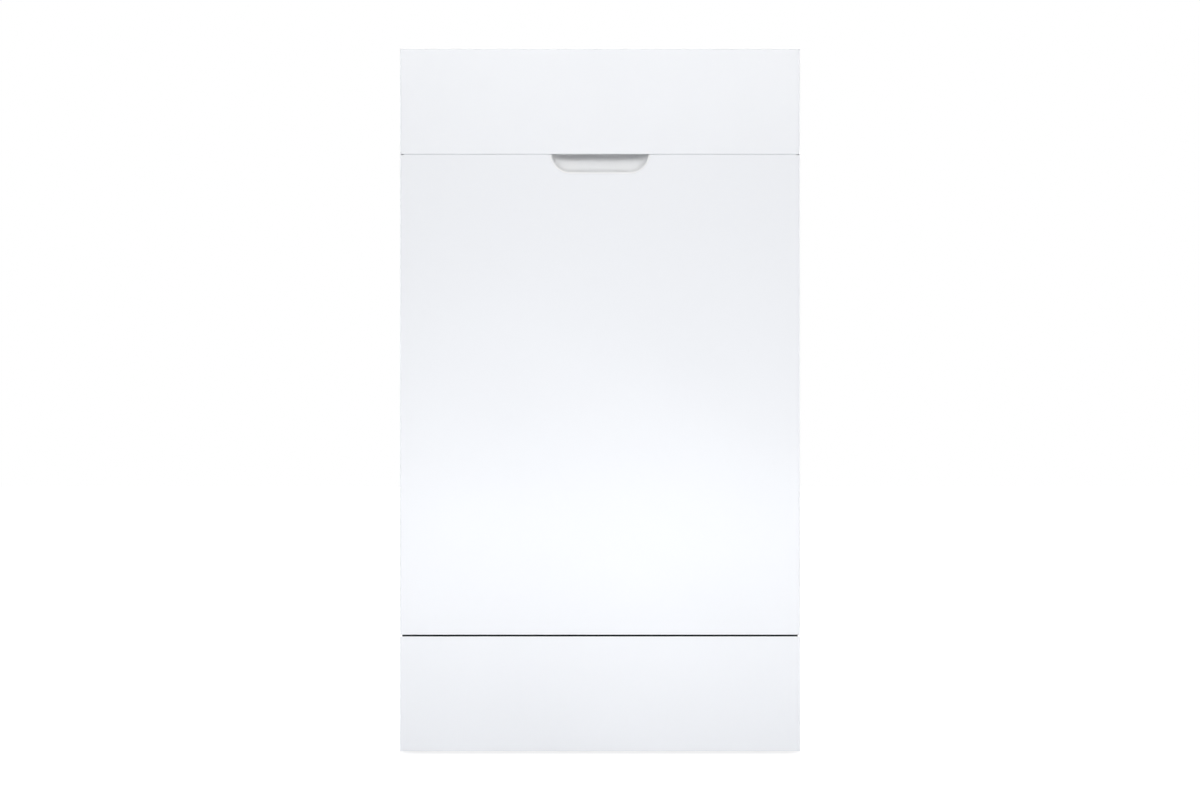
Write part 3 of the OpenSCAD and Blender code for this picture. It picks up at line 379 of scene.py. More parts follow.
# %% Zinc finishes
def galvanised_sheet():
    mat, place = finish("galvanised_spangle_sheet", "#a9adb0", 0.45, 1.0)
    cells = add(mat.node_tree, "ShaderNodeTexVoronoi", {"Vector": place, "Scale": 1000 / 11})
    grey = add(mat.node_tree, "ShaderNodeSeparateColor", {"Color": cells.outputs["Color"]}).outputs[0]
    two_tone(mat, grey, "#a3a8ab", "#b7bbbe", 0.0, 1.0)
    uneven(mat, grey, 0.42, 0.52)
    relief(mat, noise(mat, place, 1.5), 0.02, 0.3)
    return mat


def plated_steel(name, light, dark, rough):
    mat, place = finish(name, light, rough, 1.0)
    haze = noise(mat, place, 12, 3.0)
    uneven(mat, haze, rough - 0.05, rough + 0.1)
    two_tone(mat, haze, dark, light)
    relief(mat, noise(mat, place, 0.7), 0.01, 0.3)
    return mat


spangle = galvanised_sheet()
zinc_plate = plated_steel("zinc_plated_steel", "#b4b8bd", "#9ba0a6", 0.34)
spring_wire = plated_steel("oiled_spring_steel", "#6a6c70", "#4c4e52", 0.3)
print("zinc:", spangle.name, zinc_plate.name, spring_wire.name)

# %% [markdown]
# The rest is moulded plastic and rubber. Parts that nobody is meant to see keep the spark-eroded grain of
# the tool, about a millimetre across, and talc or glass in the plastic makes it dull. One function serves
# them, with its own colour, gloss and grain each.

# %% Moulded plastics and rubber
def grained_moulding(name, light, dark, rough, grain_mm, depth_mm):
    mat, place = finish(name, light, rough)
    relief(mat, noise(mat, place, grain_mm, 3.0), depth_mm, 0.5)
    cloud = noise(mat, place, 45, 3.0)
    uneven(mat, cloud, rough - 0.05, rough + 0.07)
    two_tone(mat, cloud, dark, light)
    return mat


black_base = grained_moulding("black_filled_polypropylene", "#2b2c2e", "#232426", 0.6, 1.1, 0.06)
black_case = grained_moulding("black_moulded_nylon", "#262729", "#1f2022", 0.5, 0.9, 0.04)
grey_wash = grained_moulding("grey_wash_polypropylene", "#8d9296", "#83888c", 0.42, 1.0, 0.02)
pale_wash = grained_moulding("pale_grey_polypropylene", "#d9dcdd", "#cfd2d4", 0.4, 1.0, 0.02)
key_caps = grained_moulding("satin_key_abs", "#c9cccf", "#c2c5c8", 0.34, 0.8, 0.008)
strip_grain = grained_moulding("dark_grained_strip", "#34363a", "#2c2e31", 0.48, 0.8, 0.03)
seal_rubber = grained_moulding("matt_grey_seal_rubber", "#77797c", "#6b6d70", 0.72, 1.6, 0.04)
wire_coat = grained_moulding("grey_nylon_wire_coat", "#a2a8ad", "#989ea3", 0.33, 1.8, 0.015)
print("mouldings:", black_base.name, grey_wash.name, wire_coat.name)

# %% [markdown]
# The display is a clear lens over a dark screen, so it is nearly black with a sharp coat. The boards behind
# it are green laminate, where a brick pattern stands for the tracks.

# %% Display and boards
def display_lens():
    mat, place = finish("clear_lens_over_dark_display", "#0d0f12", 0.12)
    smear = noise(mat, place, 14)
    uneven(mat, smear, 0.08, 0.16)
    two_tone(mat, smear, "#0b0d10", "#111419")
    dress(mat, {"Coat Weight": 0.6, "Coat Roughness": 0.04})
    return mat


def green_laminate():
    mat, place = finish("green_board_laminate", "#2f6b45", 0.35)
    tracks = add(mat.node_tree, "ShaderNodeTexBrick", {
        "Vector": place, "Scale": 1.0, "Brick Width": 7 * MM, "Row Height": 2.4 * MM,
        "Mortar Size": 0.35 * MM, "Color1": linear("#2c6641"), "Color2": linear("#2f6e47"),
        "Mortar": linear("#4f8f62")})
    dress(mat, {"Base Color": tracks.outputs["Color"]})
    relief(mat, tracks.outputs["Fac"], 0.03, 0.6)
    return mat


dark_display = display_lens()
board_green = green_laminate()
print("electrics:", dark_display.name, board_green.name)

# %% [markdown]
# ## From solid to piece
#
# A solid straight from CAD has knife edges, and real edges always catch a line of light. So in a copy the
# loose triangles are merged, flat neighbours are joined again, and the Bevel modifier rounds what is sharper
# than 30 degrees. The Weighted Normal modifier keeps the large faces flat to the eye. The copy takes the
# solid's place, on the same body, and the solid is hidden.
#
# The bevel can fold a flat face that has a hole in it, because such a face is one polygon with a slit, and
# the fold covers the hole. `refilled` finds these faces by their reversed triangles, takes out the flat
# area round each, and fills it again from its rim. Last it turns the few slivers that face inward.

# %% Meshes of solids
MERGE = 0.002 * MM
FLAT_ANGLE = math.radians(0.4)
SHARP_ANGLE = math.radians(30)
FOLD_AREA = 0.1 * MM * MM
SAME_PLANE = 0.99999
FLIP_PASSES = 4
body_of = {name: solid["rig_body"] for name, solid in nodes.items()}


def mesh_of(bm, name):
    mesh = bpy.data.meshes.new(name)
    bm.to_mesh(mesh)
    bm.free()
    return mesh


def opened(mesh):
    bm = bmesh.new()
    bm.from_mesh(mesh)
    return bm


def closed(bm, mesh):
    bm.to_mesh(mesh)
    bm.free()
    return mesh


def merged(node):
    bm = opened(nodes[node].data)
    bmesh.ops.remove_doubles(bm, verts=bm.verts, dist=MERGE)
    bmesh.ops.dissolve_limit(bm, angle_limit=FLAT_ANGLE, verts=bm.verts, edges=bm.edges)
    return mesh_of(bm, node)


def shade(mesh, angle=32):
    bm = opened(mesh)
    for face in bm.faces:
        face.smooth = True
    for edge in bm.edges:
        edge.smooth = not (len(edge.link_faces) == 2 and edge.calc_face_angle(0) > math.radians(angle))
    return closed(bm, mesh)


def show(name, mesh, material, body, *stands_for, slot=None):
    piece = placed(name, mesh)
    mesh.materials.clear()
    mesh.materials.append(material)
    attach(piece, body)
    if stands_for:
        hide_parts(*stands_for)
    return len(mesh.polygons)


def taken(holder):
    result = bpy.data.meshes.new_from_object(holder.evaluated_get(bpy.context.evaluated_depsgraph_get()))
    bpy.data.objects.remove(holder)
    return result


def baked(mesh, kind, **settings):
    holder = placed("bench", mesh)
    made = holder.modifiers.new(kind.lower(), kind)
    for key, value in settings.items():
        setattr(made, key, value)
    return taken(holder)


def cut(mesh, cutter_mesh):
    cutter = placed("cutter", cutter_mesh)
    result = baked(mesh, "BOOLEAN", object=cutter, operation="DIFFERENCE", solver="EXACT")
    bpy.data.objects.remove(cutter)
    return result


# %% Rounded edges without folds
def folded_faces(mesh):
    mesh.calc_loop_triangles()
    found = set()
    for tri in mesh.loop_triangles:
        a, b, c = (mesh.vertices[i].co for i in tri.vertices)
        if (b - a).cross(c - a).dot(mesh.polygons[tri.polygon_index].normal) < -2 * FOLD_AREA:
            found.add(tri.polygon_index)
    return found


def flat_area(start):
    flat, front = {start}, [start]
    while front:
        for edge in front.pop().edges:
            for face in edge.link_faces:
                if face not in flat and face.normal.dot(start.normal) > SAME_PLANE:
                    flat.add(face)
                    front.append(face)
    return flat


def turned_against(edge):
    return len(edge.link_faces) == 2 and not edge.is_contiguous


def refilled(mesh):
    bad = folded_faces(mesh)
    bm = opened(mesh)
    bm.faces.ensure_lookup_table()
    for start in [bm.faces[i] for i in bad]:
        if not start.is_valid:
            continue
        flat, out = flat_area(start), start.normal.copy()
        inner = [edge for edge in bm.edges if edge.link_faces and flat.issuperset(edge.link_faces)]
        rim = [edge for edge in bm.edges if edge not in inner and not flat.isdisjoint(edge.link_faces)]
        bmesh.ops.delete(bm, geom=list(flat), context="FACES_ONLY")
        bmesh.ops.delete(bm, geom=inner, context="EDGES")
        made = bmesh.ops.triangle_fill(bm, use_beauty=True, edges=rim, normal=out)["geom"]
        for face in (g for g in made if isinstance(g, bmesh.types.BMFace)):
            face.smooth = True
            if face.normal.dot(out) < 0:
                face.normal_flip()
    for _ in range(FLIP_PASSES):
        for face in bm.faces:
            if 2 * sum(turned_against(edge) for edge in face.edges) > len(face.edges):
                face.normal_flip()
    return closed(bm, mesh)


def rounded(mesh, width_mm, segments=2):
    soft = baked(shade(mesh), "BEVEL", width=width_mm * MM, segments=segments, limit_method="ANGLE",
                 angle_limit=SHARP_ANGLE, miter_outer="MITER_ARC", use_clamp_overlap=True)
    return baked(refilled(soft), "WEIGHTED_NORMAL", keep_sharp=True, weight=60)


def softened(node, width_mm, material, name=None, segments=2):
    mesh = rounded(merged(node), width_mm, segments)
    return show(name or node + "_soft", mesh, material, body_of[node], node)


print("edges are rounded from", round(math.degrees(SHARP_ANGLE)), "degrees")

# %% [markdown]
# Many pieces are built from scratch in the same three ways. A box between two corners is a bar. An outline
# that is repeated at two heights is a prism. And several meshes joined into one make an assembly, which is
# shown as one piece.

# %% Bars, prisms and assemblies
def plain_bar(low_mm, high_mm):
    bm = bmesh.new()
    bmesh.ops.create_cube(bm, size=1.0)
    for vert in bm.verts:
        for k in range(3):
            vert.co[k] = (low_mm[k] + (vert.co[k] + 0.5) * (high_mm[k] - low_mm[k])) * MM
    return mesh_of(bm, "bar")


def bar(low_mm, high_mm, edge_mm=0.3):
    return rounded(plain_bar(low_mm, high_mm), edge_mm)


def prism(place, outline, low, high):
    bm = bmesh.new()
    rings = [[bm.verts.new([c * MM for c in place(u, v, w)]) for u, v in outline] for w in (low, high)]
    for ring in rings:
        bm.faces.new(ring)
    for i, j in zip(range(len(outline)), (*range(1, len(outline)), 0)):
        bm.faces.new((rings[0][i], rings[0][j], rings[1][j], rings[1][i]))
    bmesh.ops.recalc_face_normals(bm, faces=bm.faces)
    return mesh_of(bm, "prism")


def pill(reach_mm, half_mm, steps=12):
    points = []
    for side in (1, -1):
        for i in range(steps + 1):
            angle = math.radians(-90 + 180 * i / steps)
            points.append((side * (reach_mm - half_mm + half_mm * math.cos(angle)),
                           side * half_mm * math.sin(angle)))
    return points


def joined(*meshes):
    bm = bmesh.new()
    for mesh in meshes:
        bm.from_mesh(mesh)
        bpy.data.meshes.remove(mesh)
    return mesh_of(bm, "joined")


def assembled(name, meshes, material, body, *stands_for, slot=None, angle=None):
    mesh = joined(*meshes)
    if angle:
        shade(mesh, angle)
    return show(name, mesh, material, body, *stands_for, slot=slot)


print("building blocks ready")

# %% [markdown]
# ## The front
#
# The front is all that the picture shows, so its edges get the most care. The door skin is pressed from
# sheet: at the finger pocket the sheet rolls inward with a radius of 2.5 mm, and that roll carries the white
# line under the pocket. The hole in the skin is widened to the start of the roll, and the roll itself
# belongs to the pocket, so that the surface runs on without a step.

# %% Door skin
ROLL = 2.5
PEN_R = 21.5
PEN_SPAN = 32.5
PEN_Y = -299.0
PEN_Z = 674.1
SEAM_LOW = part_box("door_outer_panel")[1].z
FASCIA_LOW = SEAM_LOW + 0.6 * MM
FRONT = -300.0


def pocket_ring(radius_mm):
    return [(x, z + PEN_Z) for x, z in pill(PEN_SPAN + radius_mm, radius_mm, 28)]


hole = prism(lambda x, z, y: (x, y, z), pocket_ring(PEN_R + ROLL), FRONT - 3, FRONT + 3)
skin = rounded(cut(merged("door_outer_panel"), hole), 0.35)
print("door skin faces:", show("door_skin", skin, door_paint, "door", "door_outer_panel"))

# %% [markdown]
# The pocket is a capsule cut in half by the front plane. Its section is the roll and then a quarter circle,
# and that section is swept round the capsule's outline. Above the seam the front part is trimmed away, for
# there the pocket goes on behind the fascia, which is where the fingers pull.

# %% Finger pocket
POCKET_WALL = 1.3 * MM
BEHIND_FASCIA = cad_low.y + 2.55 * MM


def pocket_section(roll_steps=8, bowl_steps=22):
    points = []
    for i in range(roll_steps + 1):
        angle = math.radians(90 * i / roll_steps)
        points.append((PEN_R + ROLL - ROLL * math.sin(angle), FRONT + ROLL - ROLL * math.cos(angle)))
    start = math.asin((points[-1][1] - PEN_Y) / PEN_R)
    for i in range(1, bowl_steps + 1):
        angle = start + (math.pi / 2 - start) * i / bowl_steps
        points.append((PEN_R * math.cos(angle), PEN_Y + PEN_R * math.sin(angle)))
    return points


def pocket_mesh():
    bm = bmesh.new()
    rings = [[bm.verts.new((x * MM, y * MM, z * MM)) for x, z in pocket_ring(max(radius, 0.0))]
             for radius, y in pocket_section()]
    for outer, inner in zip(rings, rings[1:]):
        for i, j in zip(range(len(outer)), (*range(1, len(outer)), 0)):
            bm.faces.new((outer[i], outer[j], inner[j], inner[i]))
    bmesh.ops.remove_doubles(bm, verts=bm.verts, dist=MERGE)
    for point, across in (((0, 0, SEAM_LOW), (0, 0, 1)), ((0, 0, FASCIA_LOW), (0, 0, 1)),
                          ((0, BEHIND_FASCIA, 0), (0, 1, 0))):
        bmesh.ops.bisect_plane(bm, geom=[*bm.verts, *bm.edges, *bm.faces], plane_co=point, plane_no=across)
    middles = {face: face.calc_center_median() for face in bm.faces}
    gone = [face for face, middle in middles.items() if middle.z > SEAM_LOW and middle.y < BEHIND_FASCIA]
    bmesh.ops.delete(bm, geom=gone, context="FACES")
    bmesh.ops.recalc_face_normals(bm, faces=bm.faces)
    deepest = max(bm.faces, key=lambda face: face.calc_center_median().y)
    if deepest.normal.y > 0:
        bmesh.ops.reverse_faces(bm, faces=bm.faces)
    return shade(mesh_of(bm, "finger_pocket"), 50)


bowl = baked(pocket_mesh(), "SOLIDIFY", thickness=POCKET_WALL, offset=-1.0)
print("pocket faces:", show("finger_pocket", bowl, pocket_abs_painted_brighter, "door", "handle_pocket"))

# %% [markdown]
# The fascia is a plastic moulding with a soft lower edge, and the kick plate is folded sheet like the door.

# %% Fascia and kick plate
print("fascia faces:", softened("fascia", 0.45, white_abs, "fascia_moulding", 3))
print("kick plate faces:", softened("kick_plate", 0.5, door_paint, "kick_plate_sheet", 3))

# %% [markdown]
# ## Bent wire
#
# Both racks, the cup shelf, the plate tines and the hinge springs are bent wire. One Geometry Nodes tree
# makes them all: it takes a path of straight edges, rounds its corners, gives it a round section with domed
# ends, and repeats it along a step. Every tree here starts with its named inputs and ends with real geometry
# in one material, so two functions do that. The modifier's inputs are set by their identifiers.

# %% Starting, ending and running a tree
def new_tree(name, **inputs):
    tree = bpy.data.node_groups.new(name, "GeometryNodeTree")
    for label, kind in {**inputs, "Finish": "Material"}.items():
        tree.interface.new_socket(label.replace("_", " "), in_out="INPUT", socket_type="NodeSocket" + kind)
    tree.interface.new_socket("Made", in_out="OUTPUT", socket_type="NodeSocketGeometry")
    return tree, tree.nodes.new("NodeGroupInput").outputs


def end_tree(tree, made, coat, centre=None, turn=None):
    real = add(tree, "GeometryNodeRealizeInstances", {"Geometry": made.outputs[0]})
    if centre:
        real = add(tree, "GeometryNodeTransform", {"Geometry": real.outputs[0], "Translation": centre,
                                                   "Rotation": turn})
    coated = add(tree, "GeometryNodeSetMaterial", {"Geometry": real.outputs[0], "Material": coat})
    tree.links.new(coated.outputs[0], tree.nodes.new("NodeGroupOutput").inputs[0])
    print(tree.name, "nodes:", len(tree.nodes))
    return tree


def instances(tree, points, instance, **more):
    inputs = {"Points": points, "Instance": instance, **more}
    return add(tree, "GeometryNodeInstanceOnPoints", inputs)


def line(tree, count, step):
    return add(tree, "GeometryNodeMeshLine", {"Count": count, "Offset": step}, mode="OFFSET").outputs[0]


def grown(tree, base, settings):
    holder = placed("bench", base)
    made = holder.modifiers.new("grow", "NODES")
    made.node_group = tree
    for item in tree.interface.items_tree:
        if item.in_out == "INPUT" and item.name in settings:
            made[item.identifier] = settings[item.name]
    return taken(holder)


# %% The wire tree
def wire_tree():
    tree, given = new_tree("bent_wire_row", Path="Geometry", Wire_Radius="Float", Bend_Radius="Float",
                           Count="Int", Step="Vector", Sides="Int")
    path = add(tree, "GeometryNodeMeshToCurve", {"Mesh": given["Path"]}).outputs[0]
    bent = add(tree, "GeometryNodeFilletCurve", {"Curve": path, "Count": 5, "Radius": given["Bend Radius"],
                                                 "Limit Radius": True}, mode="POLY")
    ring = add(tree, "GeometryNodeCurvePrimitiveCircle", {"Resolution": given["Sides"],
                                                          "Radius": given["Wire Radius"]})
    wire = add(tree, "GeometryNodeCurveToMesh", {"Curve": bent.outputs[0], "Profile Curve": ring.outputs[0],
                                                 "Fill Caps": True})
    ball = add(tree, "GeometryNodeMeshUVSphere", {"Segments": given["Sides"], "Rings": 6,
                                                  "Radius": given["Wire Radius"]})
    ends = add(tree, "GeometryNodeCurveEndpointSelection")
    domes = instances(tree, path, ball.outputs[0], Selection=ends.outputs[0])
    one = add(tree, "GeometryNodeJoinGeometry", {"Geometry": wire.outputs[0]})
    tree.links.new(domes.outputs[0], one.inputs[0])
    row = instances(tree, line(tree, given["Count"], given["Step"]), one.outputs[0])
    return end_tree(tree, row, given["Finish"])


WIRE_TREE = wire_tree()


def wire_row(points_mm, radius_mm, bend_mm=0.0, count=1, step_mm=(0, 0, 0), closed=False, coat=wire_coat,
             sides=10):
    last = len(points_mm) - 1
    path = bpy.data.meshes.new("path")
    path.from_pydata([[c * MM for c in p] for p in points_mm],
                     [(i, i + 1) for i in range(last)] + [(last, 0)] * closed, [])
    return grown(WIRE_TREE, path, {
        "Wire Radius": radius_mm * MM, "Bend Radius": bend_mm * MM, "Count": count,
        "Step": [c * MM for c in step_mm], "Sides": sides, "Finish": coat})


# %% [markdown]
# A rack's floor is a grid of two layers: wires that run from front to back, and wires across that lie on
# them. Every wire turns up at both ends and meets the thicker rim. The numbers are those of the solids, so
# each wire lies where its straight bars do. The rack's blocks, such as wheel mounts and feed duct, are the
# islands of the solid that are thicker than wire in two directions.

# %% Rack wires and fittings
WIRE = 2.2
RIM = 2.8
LAYER = 4.42
BEND = 9.0
THICKER = 5.9


def rack_wires(half, front, back, floor, rim, rows):
    low, high = front + WIRE, back - WIRE
    top = rim - RIM
    pitch = half / 4
    first, gap = front + 7, (back - front - 14) / (rows - 1)
    edge = half - BEND + 2
    start, end = first - WIRE, back - 7 + WIRE
    return [
        wire_row([(-3 * pitch, low, top), (-3 * pitch, low, floor), (-3 * pitch, high, floor),
                  (-3 * pitch, high, top)], WIRE, BEND, 7, (pitch, 0, 0)),
        wire_row([(-edge, start, floor), (-edge, end, floor)], WIRE, 0, 2, (2 * edge, 0, 0)),
        wire_row([(-half, first, top), (-half, first, floor + LAYER), (half, first, floor + LAYER),
                  (half, first, top)], WIRE, BEND, rows, (0, gap, 0)),
        wire_row([(-half, low, rim), (half, low, rim), (half, high, rim), (-half, high, rim)], RIM, 12,
                 closed=True)]


def islands(bm):
    left, groups = set(bm.verts), []
    while left:
        front = [left.pop()]
        group = set(front)
        while front:
            vert = front.pop()
            near = {edge.other_vert(vert) for edge in vert.link_edges} & left
            left -= near
            group |= near
            front.extend(near)
        groups.append(group)
    return groups


def blocks_of(node):
    bm = opened(merged(node))
    for group in islands(bm):
        sides = [max(v.co[k] for v in group) - min(v.co[k] for v in group) for k in range(3)]
        if sum(side > THICKER * MM for side in sides) < 2:
            bmesh.ops.delete(bm, geom=list(group), context="VERTS")
    return mesh_of(bm, node + "_blocks")


for rack, measures in (("upper_rack", (170, -222, 232, 514, 600, 8)),
                       ("lower_rack", (174, -218, 238, 206, 330, 9))):
    basket = rack + "_basket"
    assembled(rack + "_wires", rack_wires(*measures), wire_coat, body_of[basket], basket, angle=50)
    fittings = rounded(blocks_of(basket), 0.7)
    print(rack, "fittings:", show(rack + "_fittings", fittings, grey_wash, body_of[basket], basket))

# %% [markdown]
# The cup shelf and the tines are welded from thinner rods. The shelf's frame is one closed loop, and its
# nine bars lie inside it. Each hinge spring is a path wound by a loop.

# %% Cup shelf, tines and springs
SHELF_X, SHELF_Y, SHELF_Z = (-158, -82), (-110, 120), 586
TINE_X, TINE_LOW, TINE_TOP = -60, 216, 288
HINGE_Y, HINGE_Z = -280, 153.6
SPRING_R = 6.95
SPRING_WIRE = 1.5
SPRING_TURNS = 2.5
SPRING_STEPS = 20

shelf = [
    wire_row([(SHELF_X[i], SHELF_Y[j], SHELF_Z) for i, j in ((0, 0), (1, 0), (1, 1), (0, 1))], WIRE, 10,
             closed=True),
    wire_row([(SHELF_X[0] + 2, -83, SHELF_Z), (SHELF_X[1] - 2, -83, SHELF_Z)], 1.9, 0, 9, (0, 22, 0))]
tines = [
    wire_row([(TINE_X, -150, 215.12), (TINE_X, 150, 215.12)], WIRE),
    wire_row([(TINE_X, -125, TINE_LOW), (TINE_X, -125, TINE_TOP)], WIRE, 0, 11, (0, 25, 0))]


def coil(x0, x1):
    points, steps = [], SPRING_TURNS * SPRING_STEPS
    for i in range(int(steps) + 1):
        angle = 2 * math.pi * i / SPRING_STEPS
        x = x0 + SPRING_WIRE + (x1 - x0 - 2 * SPRING_WIRE) * i / steps
        points.append((x, HINGE_Y + SPRING_R * math.cos(angle), HINGE_Z + SPRING_R * math.sin(angle)))
    return wire_row(points, SPRING_WIRE, coat=spring_wire, sides=8)


springs = [coil(214.5, 222.5), coil(-222.5, -214.5)]
print("shelf:", assembled("cup_shelf_wires", shelf, wire_coat, "cup_shelf", "cup_shelf", angle=50))
print("tines:", assembled("plate_tine_wires", tines, wire_coat, "plate_tines", "plate_tines", angle=50))
print("springs:", assembled("hinge_spring_coils", springs, spring_wire, "door", "door_springs", angle=50))

# %% [markdown]
# ## Turned and moulded parts
#
# Wheels, feet, caps and nozzles are bodies of revolution. A half section that is spun round an axis gives the
# body, which is how the mould was cut. Three small node trees repeat things: round an axis, on given points
# with a random turn, and on a grid.

# %% Spinning a section
ALONG_X = (0.0, math.radians(90), 0.0)
ALONG_Y = (math.radians(-90), 0.0, 0.0)


def turned(section_mm, centre_mm, axis="Z", steps=48):
    bm = bmesh.new()
    rings = []
    for i in range(steps):
        c, s = math.cos(2 * math.pi * i / steps), math.sin(2 * math.pi * i / steps)
        ring = []
        for radius, along in section_mm:
            place = {"X": (along, radius * c, radius * s), "Y": (radius * c, along, radius * s),
                     "Z": (radius * c, radius * s, along)}[axis]
            ring.append(bm.verts.new([(place[k] + centre_mm[k]) * MM for k in range(3)]))
        rings.append(ring)
    for here, there in zip(rings, (*rings[1:], rings[0])):
        for k, n in zip(range(len(here)), (*range(1, len(here)), 0)):
            bm.faces.new((here[k], here[n], there[n], there[k]))
    bmesh.ops.remove_doubles(bm, verts=bm.verts, dist=MERGE)
    bmesh.ops.dissolve_degenerate(bm, edges=bm.edges, dist=MERGE)
    bmesh.ops.delete(bm, geom=[edge for edge in bm.edges if edge.is_wire], context="EDGES")
    bmesh.ops.recalc_face_normals(bm, faces=bm.faces)
    return shade(mesh_of(bm, "turned"), 34)


# %% Rings, points and grids of copies
RANDOM_SEED = 7


def ring_tree():
    tree, given = new_tree("ring_of_copies", Copy="Geometry", Count="Int", Centre="Vector", Turn="Rotation")
    points = add(tree, "GeometryNodePoints", {"Count": given["Count"]})
    number = add(tree, "GeometryNodeInputIndex")
    share = add(tree, "ShaderNodeMath", {0: number.outputs[0], 1: given["Count"]}, operation="DIVIDE")
    angle = add(tree, "ShaderNodeMath", {0: share.outputs[0], 1: 2 * math.pi}, operation="MULTIPLY")
    about = add(tree, "ShaderNodeCombineXYZ", {"Z": angle.outputs[0]})
    copies = instances(tree, points.outputs[0], given["Copy"], Rotation=about.outputs[0])
    return end_tree(tree, copies, given["Finish"], given["Centre"], given["Turn"])


def point_tree():
    tree, given = new_tree("copies_on_points", Points="Geometry", Copy="Object", Most_Turn="Vector")
    one = add(tree, "GeometryNodeObjectInfo", {"Object": given["Copy"]}, transform_space="ORIGINAL")
    turn = add(tree, "FunctionNodeRandomValue", {"Min": (0, 0, 0), "Max": given["Most Turn"],
                                                 "Seed": RANDOM_SEED}, data_type="FLOAT_VECTOR")
    copies = instances(tree, given["Points"], one.outputs["Geometry"], Rotation=turn.outputs[0])
    return end_tree(tree, copies, given["Finish"])


def grid_tree():
    tree, given = new_tree("grid_of_blocks", Block="Geometry", Columns="Int", Rows="Int",
                           Column_Step="Vector", Row_Step="Vector")
    row = line(tree, given["Columns"], given["Column Step"])
    lines = instances(tree, line(tree, given["Rows"], given["Row Step"]), row)
    points = add(tree, "GeometryNodeRealizeInstances", {"Geometry": lines.outputs[0]})
    return end_tree(tree, instances(tree, points.outputs[0], given["Block"]), given["Finish"])


RING_TREE, POINT_TREE, GRID_TREE = ring_tree(), point_tree(), grid_tree()


def ring_of(copy, count, centre_mm, turn):
    return grown(RING_TREE, copy, {"Count": count, "Centre": [c * MM for c in centre_mm], "Turn": turn})


def copies_at(points_mm, copy_mesh, most_turn, coat):
    copy = placed("copy", copy_mesh)
    places = bpy.data.meshes.new("places")
    places.from_pydata([[c * MM for c in p] for p in points_mm], [], [])
    made = grown(POINT_TREE, places, {"Copy": copy, "Most Turn": most_turn, "Finish": coat})
    bpy.data.objects.remove(copy)
    return made


def grid_of(block, columns, column_step, rows=1, row_step=(0, 0, 0)):
    return grown(GRID_TREE, block, {"Columns": columns, "Column Step": [c * MM for c in column_step],
                                    "Rows": rows, "Row Step": [c * MM for c in row_step]})


# %% [markdown]
# A rack wheel runs on a plain axle. It has a rounded tread, a thin web and a thick hub, and six ribs join
# them. Its faces stay within the width of the solid.

# %% Rack wheels
WHEEL_X, WHEEL_Z = 189, 195.3
WHEEL_HALF = [(3.15, -4), (6, -4), (6.6, -3.4), (6.6, -1), (12.6, -1), (12.6, -3.4), (13.2, -4), (15, -4),
              (15.8, -3.2), (16, -1.6)]


def wheel(x, y):
    section = WHEEL_HALF + [(radius, -along) for radius, along in WHEEL_HALF[::-1]]
    ribs = ring_of(bar((6.3, -0.8, -3.0), (12.9, 0.8, 3.0)), 6, (x, y, WHEEL_Z), ALONG_X)
    return [turned(section, (x, y, WHEEL_Z), "X"), ribs]


for end, y in (("front", -150), ("rear", 170)):
    node = end + "_rack_wheels"
    pair = [*wheel(-WHEEL_X, y), *wheel(WHEEL_X, y)]
    print(node, assembled(end + "_wheels", pair, grey_wash, node, node))

# %% [markdown]
# The feet have a wide pad, a hexagon for the spanner and a threaded stem. The thread is a row of rings,
# which reads as a thread at this size.

# %% Feet
FOOT_X, FOOT_FRONT, FOOT_BACK = 185, -215, 250
NUT_R, NUT_DEPTH, NUT_Z = 9.2 * MM, 5 * MM, 8.4
THREADS, THREAD_PITCH = 22, 1.7


def foot(x, y):
    thread = [(0, 5.5), (4.6, 5.5), (4.6, 9)]
    for z in (10 + i * THREAD_PITCH for i in range(THREADS)):
        thread += [(4.4, z), (5.0, z + 0.55), (5.0, z + 0.85), (4.4, z + 1.4)]
    nut = bmesh.new()
    bmesh.ops.create_cone(nut, cap_ends=True, segments=6, radius1=NUT_R, radius2=NUT_R, depth=NUT_DEPTH)
    bmesh.ops.translate(nut, verts=nut.verts, vec=(x * MM, y * MM, NUT_Z * MM))
    return [turned([(0, 0), (17.6, 0), (19, 1.4), (19, 4.4), (17.4, 6), (0, 6)], (x, y, 0)),
            turned([*thread, (4.4, 48), (0, 48)], (x, y, 0), steps=24), rounded(mesh_of(nut, "nut"), 0.5)]


for name, node, places in (("front_foot_left_pad", "front_foot_left", [(-FOOT_X, FOOT_FRONT)]),
                           ("front_foot_right_pad", "front_foot_right", [(FOOT_X, FOOT_FRONT)]),
                           ("rear_feet_pads", "rear_feet", [(-FOOT_X, FOOT_BACK), (FOOT_X, FOOT_BACK)])):
    parts = [part for place in places for part in foot(*place)]
    print(name, assembled(name, parts, black_case, node, node))

# %% [markdown]
# The screws that hold the back and the lid have a pan head with a cross recess. One head is modelled once,
# and Geometry Nodes sets it on the ten points.

# %% Cabinet screws
SCREW_X, SCREW_Y, SCREW_ROWS = 218, 297.5, (40, 200, 400, 600, 771.2)


def screw_head():
    head = turned([(0, 0), (3.5, 0), (3.5, 0.6), (3.2, 1.4), (2.4, 2.0), (1.2, 2.4), (0, 2.48)], (0, 0, 0),
                  "Y", 24)
    for x, z in ((1.9, 0.45), (0.45, 1.9)):
        head = cut(head, bar((-x, 1.2, -z), (x, 3.5, z), 0.05))
    return shade(head, 34)


screw_places = [(side * SCREW_X, SCREW_Y, z) for z in SCREW_ROWS for side in (-1, 1)]
screws = copies_at(screw_places, screw_head(), (0, 1.5, 0), zinc_plate)
print("screws:", assembled("cross_head_screws", [screws], zinc_plate, "cabinet", "cabinet_screws", angle=34))

# %% [markdown]
# ## Sheets and mouldings with soft edges
#
# Most nodes already have the right shape and only need their edges broken: folded sheet by about half its
# thickness, mouldings and rubber by more. One table has the widths in millimetres for each finish, and the
# nodes that have them.

